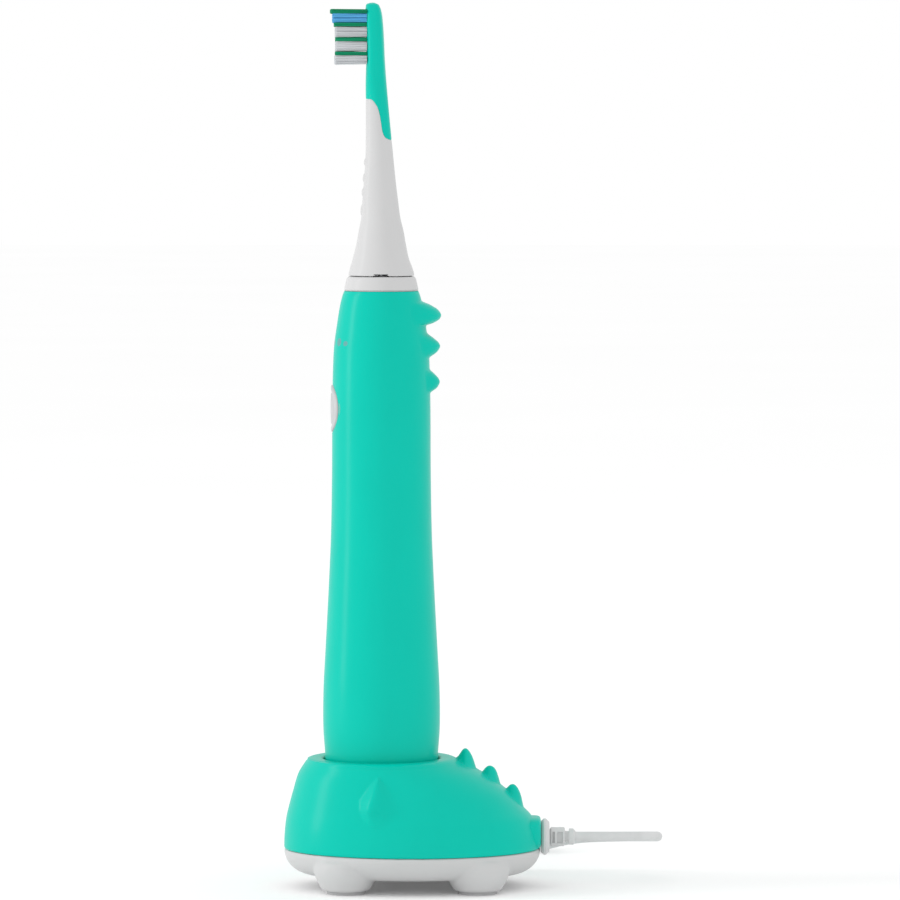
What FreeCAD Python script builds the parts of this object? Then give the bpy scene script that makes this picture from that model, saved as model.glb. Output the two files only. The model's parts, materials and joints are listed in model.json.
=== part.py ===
import FreeCAD, Part

import math
import os

import Sketcher
from FreeCAD import Placement, Rotation, Vector

# Electric toothbrush standing in its charger. Millimetres, +Z up, the brush's front (bristles, button)
# towards -X, the charger's tail and cord towards +X. The origin is the middle of the base on the table.

UP = Vector(0, 0, 1)
ALONG_X = Vector(1, 0, 0)
ALONG_Y = Vector(0, 1, 0)

DIMENSIONS = {
    # axis of the handle, and of the cup and post that hold it
    "axis_x": -8.6,
    # charger shell: oval sections from the seam up to the shoulder
    "seam_z": 11.0,
    "seam_long": 36.0,
    "boss_end_x": 36.1,
    "seam_wide": 28.0,
    "low_z": 19.8,
    "low_x": -0.85,
    "low_long": 34.45,
    "low_wide": 27.4,
    "flank_z": 24.0,
    "flank_x": -2.2,
    "flank_long": 32.0,
    "flank_wide": 26.3,
    "waist_z": 30.0,
    "waist_x": -4.8,
    "waist_long": 27.8,
    "waist_wide": 24.0,
    "shoulder_z": 36.4,
    "shoulder_rad": 20.8,
    "wall": 2.0,
    # cup and charging post
    "cup_rad": 16.4,
    "cup_wall_rad": 18.2,
    "cup_floor_z": 21.0,
    "cup_under_z": 19.0,
    "post_rad": 4.6,
    "post_top_z": 33.0,
    "post_bore_rad": 3.4,
    # tail boss that the cord leaves by
    "boss_x": 27.0,
    "boss_top_z": 19.7,
    "boss_half": 6.5,
    # tray, feet, pads and screws
    "tray_z": 4.0,
    "tray_round": 7.0,
    "foot_x": 18.3,
    "foot_y": 16.0,
    "foot_rad": 8.4,
    "foot_low_rad": 6.6,
    "foot_z": 0.9,
    "pad_rad": 5.4,
    "pad_top_z": 1.5,
    "screw_head_rad": 2.3,
    "screw_head_z": 2.2,
    "screw_rad": 1.15,
    "screw_top_z": 16.5,
    # charger's board and coil
    "board_x": -24.6,
    "board_z": 8.0,
    "board_thick": 1.2,
    "board_long": 36.0,
    "board_half": 15.0,
    "column_rad": 3.5,
    "bobbin_z": 12.0,
    "bobbin_rad": 12.0,
    "bobbin_hub_rad": 4.3,
    "winding_rad": 11.4,
    "ferrite_rad": 3.25,
    "ferrite_z": 10.2,
    "ferrite_top_z": 31.0,
    # indicator lens in the shell's front
    "lens_z": 22.5,
    "lens_rad": 1.5,
    # cord and plug
    "cord_rad": 1.4,
    "cord_z": 14.0,
    "flange_x": 36.2,
    "flange_rad": 5.1,
    "flange_thick": 2.3,
    "relief_x": 38.7,
    "relief_rad": 2.7,
    "relief_neck_x": 42.85,
    "relief_neck_rad": 1.6,
    "relief_ring_x": 44.0,
    "relief_ring_rad": 2.3,
    "exit_x": 45.8,
    "coil_x": -4.0,
    "coil_y": 54.0,
    "coil_in_rad": 9.4,
    "coil_out_rad": 20.6,
    "coil_high": 5.6,
    "plug_x": -5.0,
    "plug_y": 80.5,
    "plug_z": 3.75,
    "plug_sleeve": 7.0,
    "plug_grip_long": 22.0,
    "plug_grip_half": 6.3,
    "plug_round": 1.6,
    "plug_shell_long": 12.0,
    "plug_shell_half": 6.0,
    "plug_shell_low": 2.25,
    "plug_room_half": 5.7,
    "plug_room_low": 1.95,
    "plug_tongue_half": 5.6,
    # handle shell: radii of the outside from the foot up to the collar
    "grip_z": 23.3,
    "grip_rad": 15.2,
    "grip_rim_z": 37.0,
    "grip_rim_rad": 15.85,
    "grip_full_z": 48.3,
    "grip_full_rad": 16.4,
    "grip_low_z": 65.0,
    "grip_low_rad": 15.7,
    "grip_mid_z": 90.0,
    "grip_mid_rad": 14.5,
    "grip_slim_z": 115.0,
    "grip_slim_rad": 13.82,
    "grip_head_z": 143.0,
    "grip_head_rad": 13.6,
    "grip_neck_z": 157.0,
    "grip_neck_rad": 12.6,
    "grip_top_z": 167.3,
    "grip_top_rad": 10.4,
    # hollow of the handle shell
    "hollow_low_rad": 13.6,
    "hollow_low_z": 56.0,
    "hollow_mid_rad": 12.2,
    "hollow_mid_z": 112.0,
    "hollow_high_rad": 11.0,
    "hollow_high_z": 152.0,
    "hollow_top_rad": 8.2,
    "hollow_top_z": 164.3,
    "seal_hole_rad": 5.0,
    # spikes down the back of the grip: height of each tip and how wide each is at the skin
    "spike_reach": 16.4,
    "spike_high": 6.6,
    "spike_upper_z": 160.9,
    "spike_upper_half": 8.5,
    "spike_middle_z": 151.8,
    "spike_middle_half": 6.7,
    "spike_lower_z": 142.2,
    "spike_lower_half": 4.6,
    # button and what it works
    "button_z": 134.4,
    "button_rad": 6.65,
    "button_gap": 0.3,
    "button_front": 14.1,
    "button_back": 12.3,
    "button_hole_step": 11.7,
    "membrane_rad": 7.6,
    "membrane_front": 11.6,
    "membrane_back": 10.9,
    "switch_front": 10.6,
    "switch_half": 2.3,
    # bottom cap and receiving coil
    "cap_z": 21.3,
    "cap_rad": 14.9,
    "cap_plug_rad": 13.4,
    "cap_plug_top_z": 36.5,
    "recess_rad": 5.1,
    "recess_top_z": 34.5,
    "recess_wall_rad": 6.3,
    "cap_hollow_rad": 11.9,
    "cap_hollow_z": 25.5,
    "groove_z": 30.0,
    "groove_wide": 1.6,
    "groove_rad": 12.3,
    "former_top_z": 35.0,
    "former_hub_rad": 7.2,
    "receiver_rad": 11.3,
    # chassis, cell and board
    "frame_z": 38.5,
    "frame_top_z": 106.0,
    "frame_rad": 11.7,
    "frame_wall": 1.2,
    "cell_x": 0.6,
    "cell_rad": 7.0,
    "cell_z": 46.0,
    "cell_long": 50.0,
    "card_front": 9.2,
    "card_thick": 1.2,
    "card_half": 5.6,
    "card_z": 60.0,
    "card_top_z": 146.0,
    # motor and drive shaft
    "motor_z": 108.0,
    "motor_top_z": 152.0,
    "motor_rad": 6.8,
    "motor_inner_rad": 6.1,
    "core_z": 124.0,
    "core_top_z": 136.0,
    "core_rad": 4.2,
    "magnet_rad": 3.8,
    "bearing_long": 4.0,
    "shaft_rad": 1.75,
    "shaft_bore_rad": 1.82,
    "shaft_z": 110.0,
    "shaft_top_z": 192.0,
    "seal_z": 160.5,
    "seal_flange_rad": 8.1,
    "seal_neck_rad": 4.9,
    "seal_top_z": 170.2,
    # collar
    "collar_rad": 10.55,
    "collar_belt_z": 169.0,
    "collar_high_z": 170.7,
    "collar_high_rad": 10.1,
    "collar_top_z": 171.3,
    "collar_top_rad": 9.3,
    "collar_bore_rad": 5.4,
    # brush head: neck, socket and spring clip, green cover, tufts
    "skirt_z": 171.7,
    "socket_z": 174.5,
    "socket_top_z": 193.0,
    "socket_rad": 3.5,
    "skirt_hollow_rad": 7.4,
    "clip_z": 184.0,
    "clip_top_z": 187.0,
    "clip_rad": 2.9,
    "cover_z": 212.0,
    "head_x": -1.2,
    "head_stem_rad": 3.3,
    "head_z": 225.0,
    "head_top_z": 247.6,
    "head_back": 0.9,
    "head_half": 5.2,
    "head_round": 1.7,
    "face_front": 4.2,
    "tuft_deep": 2.2,
    "tuft_green_tip": 13.9,
    "tuft_blue_tip": 14.1,
    "tuft_white_tip": 13.3,
    "tuft_fine_rad": 0.5,
    "tuft_full_rad": 0.62,
    "tuft_green_pitch": 1.45,
    "tuft_blue_pitch": 1.75,
    "tuft_white_pitch": 1.75,
    "anchor_thick": 0.25,
}

# Neck of the brush head: (radius, height) of its outside from the skirt up to where the green cover starts.
NECK_OUTLINE = [("9.15", "skirt_z"), ("9.1", "173"), ("7.95", "176"), ("7", "180"), ("6.2", "184.1"),
                ("5.5", "188.5"), ("4.9", "193.5"), ("4.3", "200"), ("3.75", "207"), ("3.4", "cover_z")]

# Rows of bristles from the tip of the head down: (height of the row, colour).
TUFT_ROWS = [
    (244.9, "green"),
    (243.2, "blue"),
    (241.9, "blue"),
    (240.55, "green"),
    (239.1, "white"),
    (237.7, "white"),
    (236.3, "green"),
    (234.9, "white"),
    (233.5, "white"),
    (232.2, "green"),
    (230.9, "white"),
    (229.6, "white"),
]

# Spikes on the charger, as cones: (x, y, root height, root radius, tip height, tip radius).
TAIL_SPIKES = [(14.9, 0.0, 30.0, 4.6, 38.7, 0.9), (21.7, 0.0, 26.0, 4.2, 33.8, 0.8),
               (28.1, 0.0, 20.5, 3.8, 28.6, 0.7)]
THORNS = [(-9.1, -23.4, 20.0, 4.6, 32.8, 0.7), (-9.1, 23.4, 20.0, 4.6, 32.8, 0.7)]

# A grip spike's levels: (distance from the handle's axis, share of its height, share of its width).
SPIKE_LEVELS = [("8", 1.5, 1.0), ("12.9", 1.0, 0.58), ("spike_reach - 1.1", 0.5, 0.3),
                ("spike_reach", 0.2, 0.12)]

# The cord's route: from the strain relief round behind the tail to the coil, then from the coil to the plug.
LEAD_ROUTE = [(45.8, 0.0, 14.0), (59.5, 0.0, 14.0), (69.4, 9.0, 13.0), (69.4, 22.5, 11.3), (59.0, 31.5, 10.3),
              (42.0, 33.5, 9.4), (22.0, 35.2, 1.45), (2.0, 35.0, 1.45)]
TAIL_ROUTE = [(-23.2, 60.5, 4.2), (-23.2, 72.0, 3.9), (-15.5, 80.5, 3.75), (-5.0, 80.5, 3.75)]
COIL_TURNS = 8.25

doc = FreeCAD.newDocument("toothbrush_on_charger")
sheet = doc.addObject("Spreadsheet::Sheet", "Dims")
for row, (alias, amount) in enumerate(DIMENSIONS.items(), start=1):
    sheet.set(f"A{row}", alias)
    sheet.set(f"B{row}", str(amount))
    sheet.setAlias(f"B{row}", alias)
doc.recompute()

NODES = []


def number(expression):
    """Value of sheet names and plain numbers that are joined by + and -."""
    total = 0.0
    sign = 1.0
    for word in str(expression).split():
        if word in ("+", "-"):
            sign = 1.0 if word == "+" else -1.0
        elif word in DIMENSIONS:
            total += sign * sheet.get(word)
        else:
            total += sign * float(word)
    return total


def bound(expression):
    """The same expression as the document's objects read it."""
    return " ".join(f"Dims.{word}" if word in DIMENSIONS else word for word in str(expression).split())


def bind(thing, **sizes):
    """Bind properties of an object to expressions."""
    for name, expression in sizes.items():
        thing.setExpression(name, bound(expression))
    return thing


def place(thing, x="0", y="0", z="0", axis=UP):
    """Turn an object from +Z to an axis and bind its place."""
    thing.Placement = Placement(Vector(0, 0, 0), Rotation(UP, axis))
    for name, expression in (("x", x), ("y", y), ("z", z)):
        thing.setExpression(f"Placement.Base.{name}", bound(expression))
    return thing


def node(thing, label):
    """Give a finished sub-part its label and put it on the list of files."""
    thing.Label = label
    NODES.append(thing)
    return thing


def cylinder(name, radius, height, x="0", y="0", z="0", axis=UP):
    """Cylinder from the sheet."""
    return place(bind(doc.addObject("Part::Cylinder", name), Radius=radius, Height=height), x, y, z, axis)


def block(name, length, width, height, x="0", y="0", z="0"):
    """Box from the sheet, by its lowest corner."""
    return place(bind(doc.addObject("Part::Box", name), Length=length, Width=width, Height=height), x, y, z)


def cut(name, base, tool):
    """Base without tool."""
    result = doc.addObject("Part::Cut", name)
    result.Base = base
    result.Tool = tool
    return result


def common(name, first, second):
    """What two shapes share."""
    result = doc.addObject("Part::Common", name)
    result.Base = first
    result.Tool = second
    return result


def fuse(name, shapes):
    """Shapes joined into one."""
    result = doc.addObject("Part::MultiFuse", name)
    result.Shapes = shapes
    return result


def join(name, first, second):
    """Two shapes joined into one."""
    result = doc.addObject("Part::Fuse", name)
    result.Base = first
    result.Tool = second
    return result


def group(name, shapes):
    """Separate solids kept side by side."""
    result = doc.addObject("Part::Compound", name)
    result.Links = shapes
    return result


def sketch_on(body, name, role, points):
    """Closed outline on one of a body's own planes, each corner bound to the sheet."""
    sketch = body.newObject("Sketcher::SketchObject", name)
    plane = next(item for item in body.Origin.OriginFeatures if item.Role == role)
    sketch.AttachmentSupport = [(plane, "")]
    sketch.MapMode = "FlatFace"
    corners = [Vector(number(across), number(up), 0) for across, up in points]
    count = len(corners)
    lines = [Part.LineSegment(corners[i], corners[(i + 1) % count]) for i in range(count)]
    sketch.addGeometry(lines, False)
    sketch.addConstraint([Sketcher.Constraint("Coincident", i, 2, (i + 1) % count, 1) for i in range(count)])
    for i, (across, up) in enumerate(points):
        first = sketch.addConstraint(Sketcher.Constraint("DistanceX", -1, 1, i, 1, corners[i].x))
        sketch.setExpression(f"Constraints[{first}]", bound(across))
        second = sketch.addConstraint(Sketcher.Constraint("DistanceY", -1, 1, i, 1, corners[i].y))
        sketch.setExpression(f"Constraints[{second}]", bound(up))
    return sketch


def turned(name, points, x="axis_x", y="0", z="0", axis=UP):
    """Body turned about its own Z from a closed outline of (radius, height) corners."""
    body = doc.addObject("PartDesign::Body", name)
    sketch = sketch_on(body, name + "_outline", "XZ_Plane", points)
    turn = body.newObject("PartDesign::Revolution", name + "_turn")
    turn.Profile = sketch
    turn.ReferenceAxis = (sketch, ["V_Axis"])
    turn.Angle = 360
    body.Tip = turn
    return place(body, x, y, z, axis)


def ring(name, inner, outer, low, high, x="axis_x", y="0"):
    """Plain turned ring between two radii and two heights."""
    return turned(name, [(inner, low), (outer, low), (outer, high), (inner, high)], x, y)


def solid(name, shape, x="0", z="0", turn=Rotation()):
    """Feature for a shape that sketches and primitives can't give, set down at a place on the centre plane."""
    feature = doc.addObject("Part::Feature", name)
    feature.Shape = shape
    feature.Placement = Placement(Vector(number(x), 0, number(z)), turn)
    return feature


def oval(middle, half_x, half_y):
    """Exact ellipse about a point, level, starting at its +X end, with the same poles for every size."""
    curve = Part.Circle(Vector(0, 0, 0), UP, 1).toNurbs()
    for index in range(1, curve.NbPoles + 1):
        pole = curve.getPole(index)
        moved = Vector(middle.x + half_x * pole.x, middle.y + half_y * pole.y, middle.z)
        curve.setPole(index, moved)
    return Part.Wire(curve.toShape())


def skin(levels, ruled=False):
    """Solid through ovals given as (height, middle x, middle y, half x, half y)."""
    wires = [oval(Vector(x, y, z), long, wide) for z, x, y, long, wide in levels]
    return Part.makeLoft(wires, True, ruled)


# ---------------------------------------------------------------- charger shell

SHELL_LEVELS = [("seam_z", "0", "seam_long", "seam_wide"), ("low_z", "low_x", "low_long", "low_wide"),
                ("flank_z", "flank_x", "flank_long", "flank_wide"),
                ("waist_z", "waist_x", "waist_long", "waist_wide"),
                ("shoulder_z", "axis_x", "shoulder_rad", "shoulder_rad")]


def shell_levels(inset):
    """The charger's oval sections, drawn in by a wall all round and lowered by it at the shoulder."""
    levels = []
    for height, x, long, wide in SHELL_LEVELS:
        drop = inset if height == "shoulder_z" else 0.0
        levels.append((number(height) - drop, number(x), 0.0, number(long) - inset, number(wide) - inset))
    return levels


shell_outer = solid("shell_outer", skin(shell_levels(0.0)))
inner_levels = shell_levels(number("wall"))
below = inner_levels[0]
inner_levels.insert(0, (below[0] - 3.0,) + below[1:])
shell_inner = solid("shell_inner", skin(inner_levels))

spikes = []
for x, y, root_z, root_rad, tip_z, tip_rad in TAIL_SPIKES + THORNS:
    spike = bind(doc.addObject("Part::Cone", "shell_spike"), Radius1=root_rad, Radius2=tip_rad,
                 Height=tip_z - root_z)
    spikes.append(place(spike, x, y, root_z))

tail_boss = block("tail_boss", "boss_end_x - boss_x", "boss_half + boss_half", "boss_top_z - seam_z",
                  "boss_x", "0 - boss_half", "seam_z")
shell_body = shell_outer
for extra in [tail_boss] + spikes:
    shell_body = join("shell_body", shell_body, extra)
shell_wall = cut("shell_wall", shell_body, shell_inner)
boss_hollow = block("boss_hollow", "seam_long - boss_x - 2", "boss_half + boss_half - 3",
                    "boss_top_z - seam_z", "boss_x", "1.5 - boss_half", "seam_z - 1.8")
shell_skin = cut("shell_skin", shell_wall, boss_hollow)

cup_wall = cylinder("cup_wall", "cup_wall_rad", "shoulder_z - cup_under_z - 0.5", "axis_x", "0", "cup_under_z")
post = cylinder("post", "post_rad", "post_top_z - cup_under_z", "axis_x", "0", "cup_under_z")
bosses = []
for sign_x, top in (("-", "cup_floor_z - 1"), ("+", "waist_z")):
    for sign_y in ("-", "+"):
        bosses.append(cylinder("screw_boss", "screw_head_rad + 0.9", f"{top} - seam_z",
                               f"0 {sign_x} foot_x", f"0 {sign_y} foot_y", "seam_z"))
bosses_in_shell = common("bosses_in_shell", fuse("boss_set", bosses), shell_outer)
shell_solid = join("shell_solid", join("shell_and_cup", shell_skin, cup_wall), bosses_in_shell)
cup_bore = cylinder("cup_bore", "cup_rad", "20", "axis_x", "0", "cup_floor_z")
shell_with_cup = cut("shell_with_cup", shell_solid, cup_bore)
shell_with_post = join("shell_with_post", shell_with_cup, post)
shell_holes = [cylinder("post_bore", "post_bore_rad", "post_top_z - cup_under_z - 1.5", "axis_x", "0",
                        "cup_under_z"),
               cylinder("cord_hole", "relief_rad", "10", "boss_x", "0", "cord_z", ALONG_X),
               cylinder("lens_hole", "lens_rad", "6", "low_x - low_long - 1.5", "0", "lens_z", ALONG_X)]
for sign_x in ("-", "+"):
    for sign_y in ("-", "+"):
        shell_holes.append(cylinder("pilot", "screw_rad + 0.02", "screw_top_z + 0.5 - seam_z",
                                    f"0 {sign_x} foot_x", f"0 {sign_y} foot_y", "seam_z"))
node(cut("charger_shell", shell_with_post, fuse("shell_holes", shell_holes)), "charger_shell")

# ---------------------------------------------------------------- tray, feet, pads, screws


def tray_levels(inset, low):
    """Sections of the tray, whose lower edge is a quarter round, drawn in by a wall."""
    levels = []
    round_off = number("tray_round")
    steps = 5
    for step in range(steps):
        angle = math.radians(90 * step / (steps - 1))
        out = round_off * (math.sin(angle) - 1)
        height = number("tray_z") + low + (round_off - low) * (1 - math.cos(angle))
        levels.append((height, 0.0, 0.0, number("seam_long") + out - inset, number("seam_wide") + out - inset))
    return levels


feet = []
for sign_x in ("-", "+"):
    for sign_y in ("-", "+"):
        foot = bind(doc.addObject("Part::Cone", "foot"), Radius1="foot_low_rad", Radius2="foot_rad",
                    Height="seam_z - foot_z - 1.5")
        feet.append(place(foot, f"0 {sign_x} foot_x", f"0 {sign_y} foot_y", "foot_z"))
tray_outer = fuse("tray_outer", [solid("tray_bowl", skin(tray_levels(0.0, 0.0)))] + feet)
tray_hollow = solid("tray_hollow", skin(tray_levels(number("wall"), number("wall"))))
tray_walls = cut("tray_walls", tray_outer, tray_hollow)
standoffs = []
for sign_x in ("-", "+"):
    for sign_y in ("-", "+"):
        standoffs.append(cylinder("standoff", "2", "board_z - tray_z - 1", f"axis_x {sign_x} 14",
                                  f"0 {sign_y} 12", "tray_z + 1"))
columns = []
drillings = []
for sign_x in ("-", "+"):
    for sign_y in ("-", "+"):
        spot = (f"0 {sign_x} foot_x", f"0 {sign_y} foot_y")
        columns.append(cylinder("screw_column", "column_rad", "seam_z - tray_z - 1", *spot, "tray_z + 1"))
        drillings.append(cylinder("pad_seat", "pad_rad + 0.05", "pad_top_z - foot_z", *spot, "foot_z"))
        drillings.append(cylinder("head_seat", "screw_head_rad + 0.2", "2.8", *spot, "pad_top_z"))
        drillings.append(cylinder("screw_way", "screw_rad + 0.2", "seam_z", *spot, "tray_z"))
tray_solid = fuse("tray_solid", [tray_walls] + standoffs + columns)
node(cut("charger_tray", tray_solid, fuse("tray_drillings", drillings)), "charger_tray")

pads = []
screws = []
for sign_x in ("-", "+"):
    for sign_y in ("-", "+"):
        spot = (f"0 {sign_x} foot_x", f"0 {sign_y} foot_y")
        pads.append(cylinder("pad", "pad_rad", "pad_top_z", *spot, "0"))
        head = cylinder("screw_head", "screw_head_rad", "pad_top_z + 2.8 - screw_head_z", *spot, "screw_head_z")
        shank = cylinder("screw_shank", "screw_rad", "screw_top_z - screw_head_z", *spot, "screw_head_z")
        screws.append(fuse("screw", [head, shank]))
node(group("foot_pads", pads), "foot_pads")
node(group("tray_screws", screws), "tray_screws")

# ---------------------------------------------------------------- inside the charger

charger_card = block("charger_card", "board_long", "board_half + board_half", "board_thick", "board_x",
                     "0 - board_half", "board_z")
column_notches = [cylinder("column_notch", "column_rad + 0.2", "2", "0 - foot_x", f"0 {sign_y} foot_y",
                           "board_z - 0.4") for sign_y in ("-", "+")]
node(cut("charger_card_notched", charger_card, group("column_notches", column_notches)), "charger_board")
CHARGER_CHIPS = [("-22", "-9", "6", "5", "1.6"), ("-22", "4", "7", "7", "2.4"), ("-10", "-12.5", "5", "4", "1.4"),
                 ("-9", "8.5", "8", "4", "1.8"), ("1", "-5", "4", "9", "2.2")]
chips = [block("charger_chip", long, wide, high, x, y, "board_z + board_thick")
         for x, y, long, wide, high in CHARGER_CHIPS]
node(group("charger_chips", chips), "charger_board_parts")
node(turned("bobbin", [("post_bore_rad", "bobbin_z"), ("bobbin_rad", "bobbin_z"),
                       ("bobbin_rad", "bobbin_z + 0.9"), ("bobbin_hub_rad", "bobbin_z + 0.9"),
                       ("bobbin_hub_rad", "cup_under_z - 0.9"), ("bobbin_rad", "cup_under_z - 0.9"),
                       ("bobbin_rad", "cup_under_z"), ("post_bore_rad", "cup_under_z")]), "coil_bobbin")
node(ring("winding", "bobbin_hub_rad", "winding_rad", "bobbin_z + 0.9", "cup_under_z - 0.9"), "primary_coil")
node(cylinder("ferrite", "ferrite_rad", "ferrite_top_z - ferrite_z", "axis_x", "0", "ferrite_z"), "ferrite_core")
lens_rod = cylinder("lens_rod", "lens_rad - 0.05", "5", "low_x - low_long - 1", "0", "lens_z", ALONG_X)
node(common("lens", lens_rod, shell_outer), "indicator_lens")

# ---------------------------------------------------------------- cord, strain relief, coil and plug

GROMMET_OUTLINE = [("0", "flange_x - 4.6"), ("relief_rad + 1", "flange_x - 4.6"),
                   ("relief_rad + 1", "seam_long - 2.15"), ("relief_rad - 0.05", "seam_long - 2.15"),
                   ("relief_rad - 0.05", "flange_x"), ("flange_rad - 0.7", "flange_x"),
                   ("flange_rad", "flange_x + 0.7"), ("flange_rad", "flange_x + flange_thick - 1"),
                   ("flange_rad - 1", "flange_x + flange_thick"), ("relief_rad - 0.5", "flange_x + flange_thick"),
                   ("relief_rad - 0.5", "relief_x"), ("relief_rad", "relief_x + 0.3"),
                   ("relief_rad", "relief_neck_x - 0.3"), ("relief_rad - 0.4", "relief_neck_x"),
                   ("relief_neck_rad", "relief_neck_x"), ("relief_neck_rad", "relief_ring_x"),
                   ("relief_ring_rad", "relief_ring_x"), ("relief_ring_rad", "relief_ring_x + 1.2"),
                   ("relief_neck_rad", "exit_x"), ("0", "exit_x")]
grommet_body = turned("grommet_body", GROMMET_OUTLINE, "0", "0", "cord_z", ALONG_X)
slots = []
for start, long in (("relief_x + 0.6", "0.7"), ("relief_x + 2", "1.5")):
    for side in ("0 - relief_rad - 0.6", "relief_rad - 1"):
        slots.append(block("relief_slot", long, "1.6", "3.2", start, side, "cord_z - 1.6"))
node(cut("grommet", grommet_body, group("relief_slots", slots)), "cord_grommet")


def cord_path(route):
    """Straight runs joined by tangent arcs. Returns the wire, its length and the arcs' radii."""
    points = [Vector(*point) for point in route]
    edges = []
    radii = []
    start = points[0]
    for before, corner, after in zip(points, points[1:], points[2:]):
        inward = (before - corner).normalize()
        outward = (after - corner).normalize()
        half_turn = (math.pi - inward.getAngle(outward)) / 2
        reach = 0.45 * min((corner - before).Length, (after - corner).Length)
        radius = reach / math.tan(half_turn)
        radii.append(radius)
        enter = corner + inward * reach
        leave = corner + outward * reach
        to_middle = (inward + outward).normalize()
        middle = corner + to_middle * (math.hypot(radius, reach) - radius)
        edges.append(Part.LineSegment(start, enter).toShape())
        edges.append(Part.Arc(enter, middle, leave).toShape())
        start = leave
    edges.append(Part.LineSegment(start, points[-1]).toShape())
    wire = Part.Wire(edges)
    return wire, wire.Length, radii


def cord_tube(name, route):
    """Round tube swept along a stretch of the cord's route."""
    wire, length, radii = cord_path(route)
    radius = number("cord_rad")
    first = Vector(*route[0])
    heading = (Vector(*route[1]) - first).normalize()
    section = Part.Wire(Part.Circle(first, heading, radius).toShape())
    shape = wire.makePipeShell([section], True, True)
    expected = math.pi * radius**2 * length
    print(f"{name}: length {length:.1f}, radii {[round(r, 1) for r in radii]}, "
          f"volume {shape.Volume:.1f} of {expected:.1f}")
    if abs(shape.Volume / expected - 1) > 0.01:
        raise SystemExit(f"{name} isn't a clean tube")
    return solid(name, shape), length


lead, lead_length = cord_tube("lead", LEAD_ROUTE)
node(lead, "cord_lead")
tail, tail_length = cord_tube("tail", TAIL_ROUTE)
node(tail, "cord_tail")

node(ring("coil", "coil_in_rad", "coil_out_rad", "0", "coil_high", "coil_x", "coil_y"), "cord_coil")
coil_mid = (number("coil_in_rad") + number("coil_out_rad")) / 2
cord_length = lead_length + tail_length + COIL_TURNS * 2 * math.pi * coil_mid
print(f"coil of {COIL_TURNS} turns, whole cord {cord_length:.0f}")

sleeve = turned("plug_sleeve_body", [("0", "0"), ("cord_rad + 0.5", "0"), ("cord_rad + 1.3", "plug_sleeve"),
                                     ("0", "plug_sleeve")], "plug_x", "plug_y", "plug_z", ALONG_X)
grip_box = block("grip_box", "plug_grip_long", "plug_grip_half + plug_grip_half", "plug_z + plug_z",
                 "plug_x + plug_sleeve", "plug_y - plug_grip_half", "0")
grip_fillet = doc.addObject("Part::Fillet", "grip_fillet")
grip_fillet.Base = grip_box
doc.recompute()
rounding = number("plug_round")
grip_fillet.Edges = [(index, rounding, rounding) for index in range(1, len(grip_box.Shape.Edges) + 1)]
node(fuse("plug_grip", [sleeve, grip_fillet]), "usb_plug_grip")
PLUG_FRONT = "plug_x + plug_sleeve + plug_grip_long"
shell_box = block("shell_box", "plug_shell_long", "plug_shell_half + plug_shell_half",
                  "plug_shell_low + plug_shell_low", PLUG_FRONT, "plug_y - plug_shell_half",
                  "plug_z - plug_shell_low")
shell_room = block("shell_room", "plug_shell_long", "plug_room_half + plug_room_half",
                   "plug_room_low + plug_room_low", PLUG_FRONT + " + 0.4", "plug_y - plug_room_half",
                   "plug_z - plug_room_low")
windows = [block("plug_window", "2.2", "2.4", "1", PLUG_FRONT + " + 5.6", f"plug_y {side}", "plug_z + 1.6")
           for side in ("- 4.2", "+ 1.8")]
node(cut("plug_shell", shell_box, fuse("shell_openings", [shell_room] + windows)), "usb_plug_shell")
node(block("plug_tongue", "plug_shell_long - 1", "plug_tongue_half + plug_tongue_half", "1.8",
           PLUG_FRONT + " + 0.4", "plug_y - plug_tongue_half", "plug_z - plug_room_low + 0.05"),
     "usb_plug_tongue")

# ---------------------------------------------------------------- handle shell

GRIP_LEVELS = ["grip", "grip_rim", "grip_full", "grip_low", "grip_mid", "grip_slim", "grip_head", "grip_neck",
               "grip_top"]


def grip_solid():
    """The grip's outside: a smooth curve through its radii, turned about the handle's axis."""
    radii = [Vector(number(f"{level}_rad"), 0, number(f"{level}_z")) for level in GRIP_LEVELS]
    curve = Part.BSplineCurve()
    curve.interpolate(radii)
    foot = Vector(0, 0, radii[0].z)
    head = Vector(0, 0, radii[-1].z)
    edges = [Part.LineSegment(foot, radii[0]).toShape(), curve.toShape(),
             Part.LineSegment(radii[-1], head).toShape(), Part.LineSegment(head, foot).toShape()]
    return Part.Face(Part.Wire(edges)).revolve(Vector(0, 0, 0), UP, 360)


def spike_solid(which):
    """One rounded spike, drawn upright: ovals from deep in the grip to the tip."""
    half = number(f"spike_{which}_half")
    high = number("spike_high") / 2
    wires = [oval(Vector(0, 0, number(out)), high * high_share, half * wide_share)
             for out, high_share, wide_share in SPIKE_LEVELS]
    return Part.makeLoft(wires, True, False)


grip = solid("grip", grip_solid(), "axis_x")
grip_spikes = [solid(f"grip_spike_{which}", spike_solid(which), "axis_x", f"spike_{which}_z",
                     Rotation(ALONG_Y, 90)) for which in ("upper", "middle", "lower")]
grip_whole = fuse("grip_whole", [grip] + grip_spikes)
grip_hollow = turned("grip_hollow", [("0", "grip_z - 1"), ("hollow_low_rad", "grip_z - 1"),
                                     ("hollow_low_rad", "hollow_low_z"),
                                     ("hollow_mid_rad", "hollow_low_z + 4"),
                                     ("hollow_mid_rad", "hollow_mid_z"),
                                     ("hollow_high_rad", "hollow_mid_z + 5"),
                                     ("hollow_high_rad", "hollow_high_z"),
                                     ("hollow_top_rad", "hollow_high_z + 5"),
                                     ("hollow_top_rad", "hollow_top_z"), ("seal_hole_rad", "hollow_top_z"),
                                     ("seal_hole_rad", "grip_top_z + 1"), ("0", "grip_top_z + 1")])
button_hole = cylinder("button_hole", "button_rad + button_gap", "6", "axis_x - 16", "0", "button_z", ALONG_X)
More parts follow.
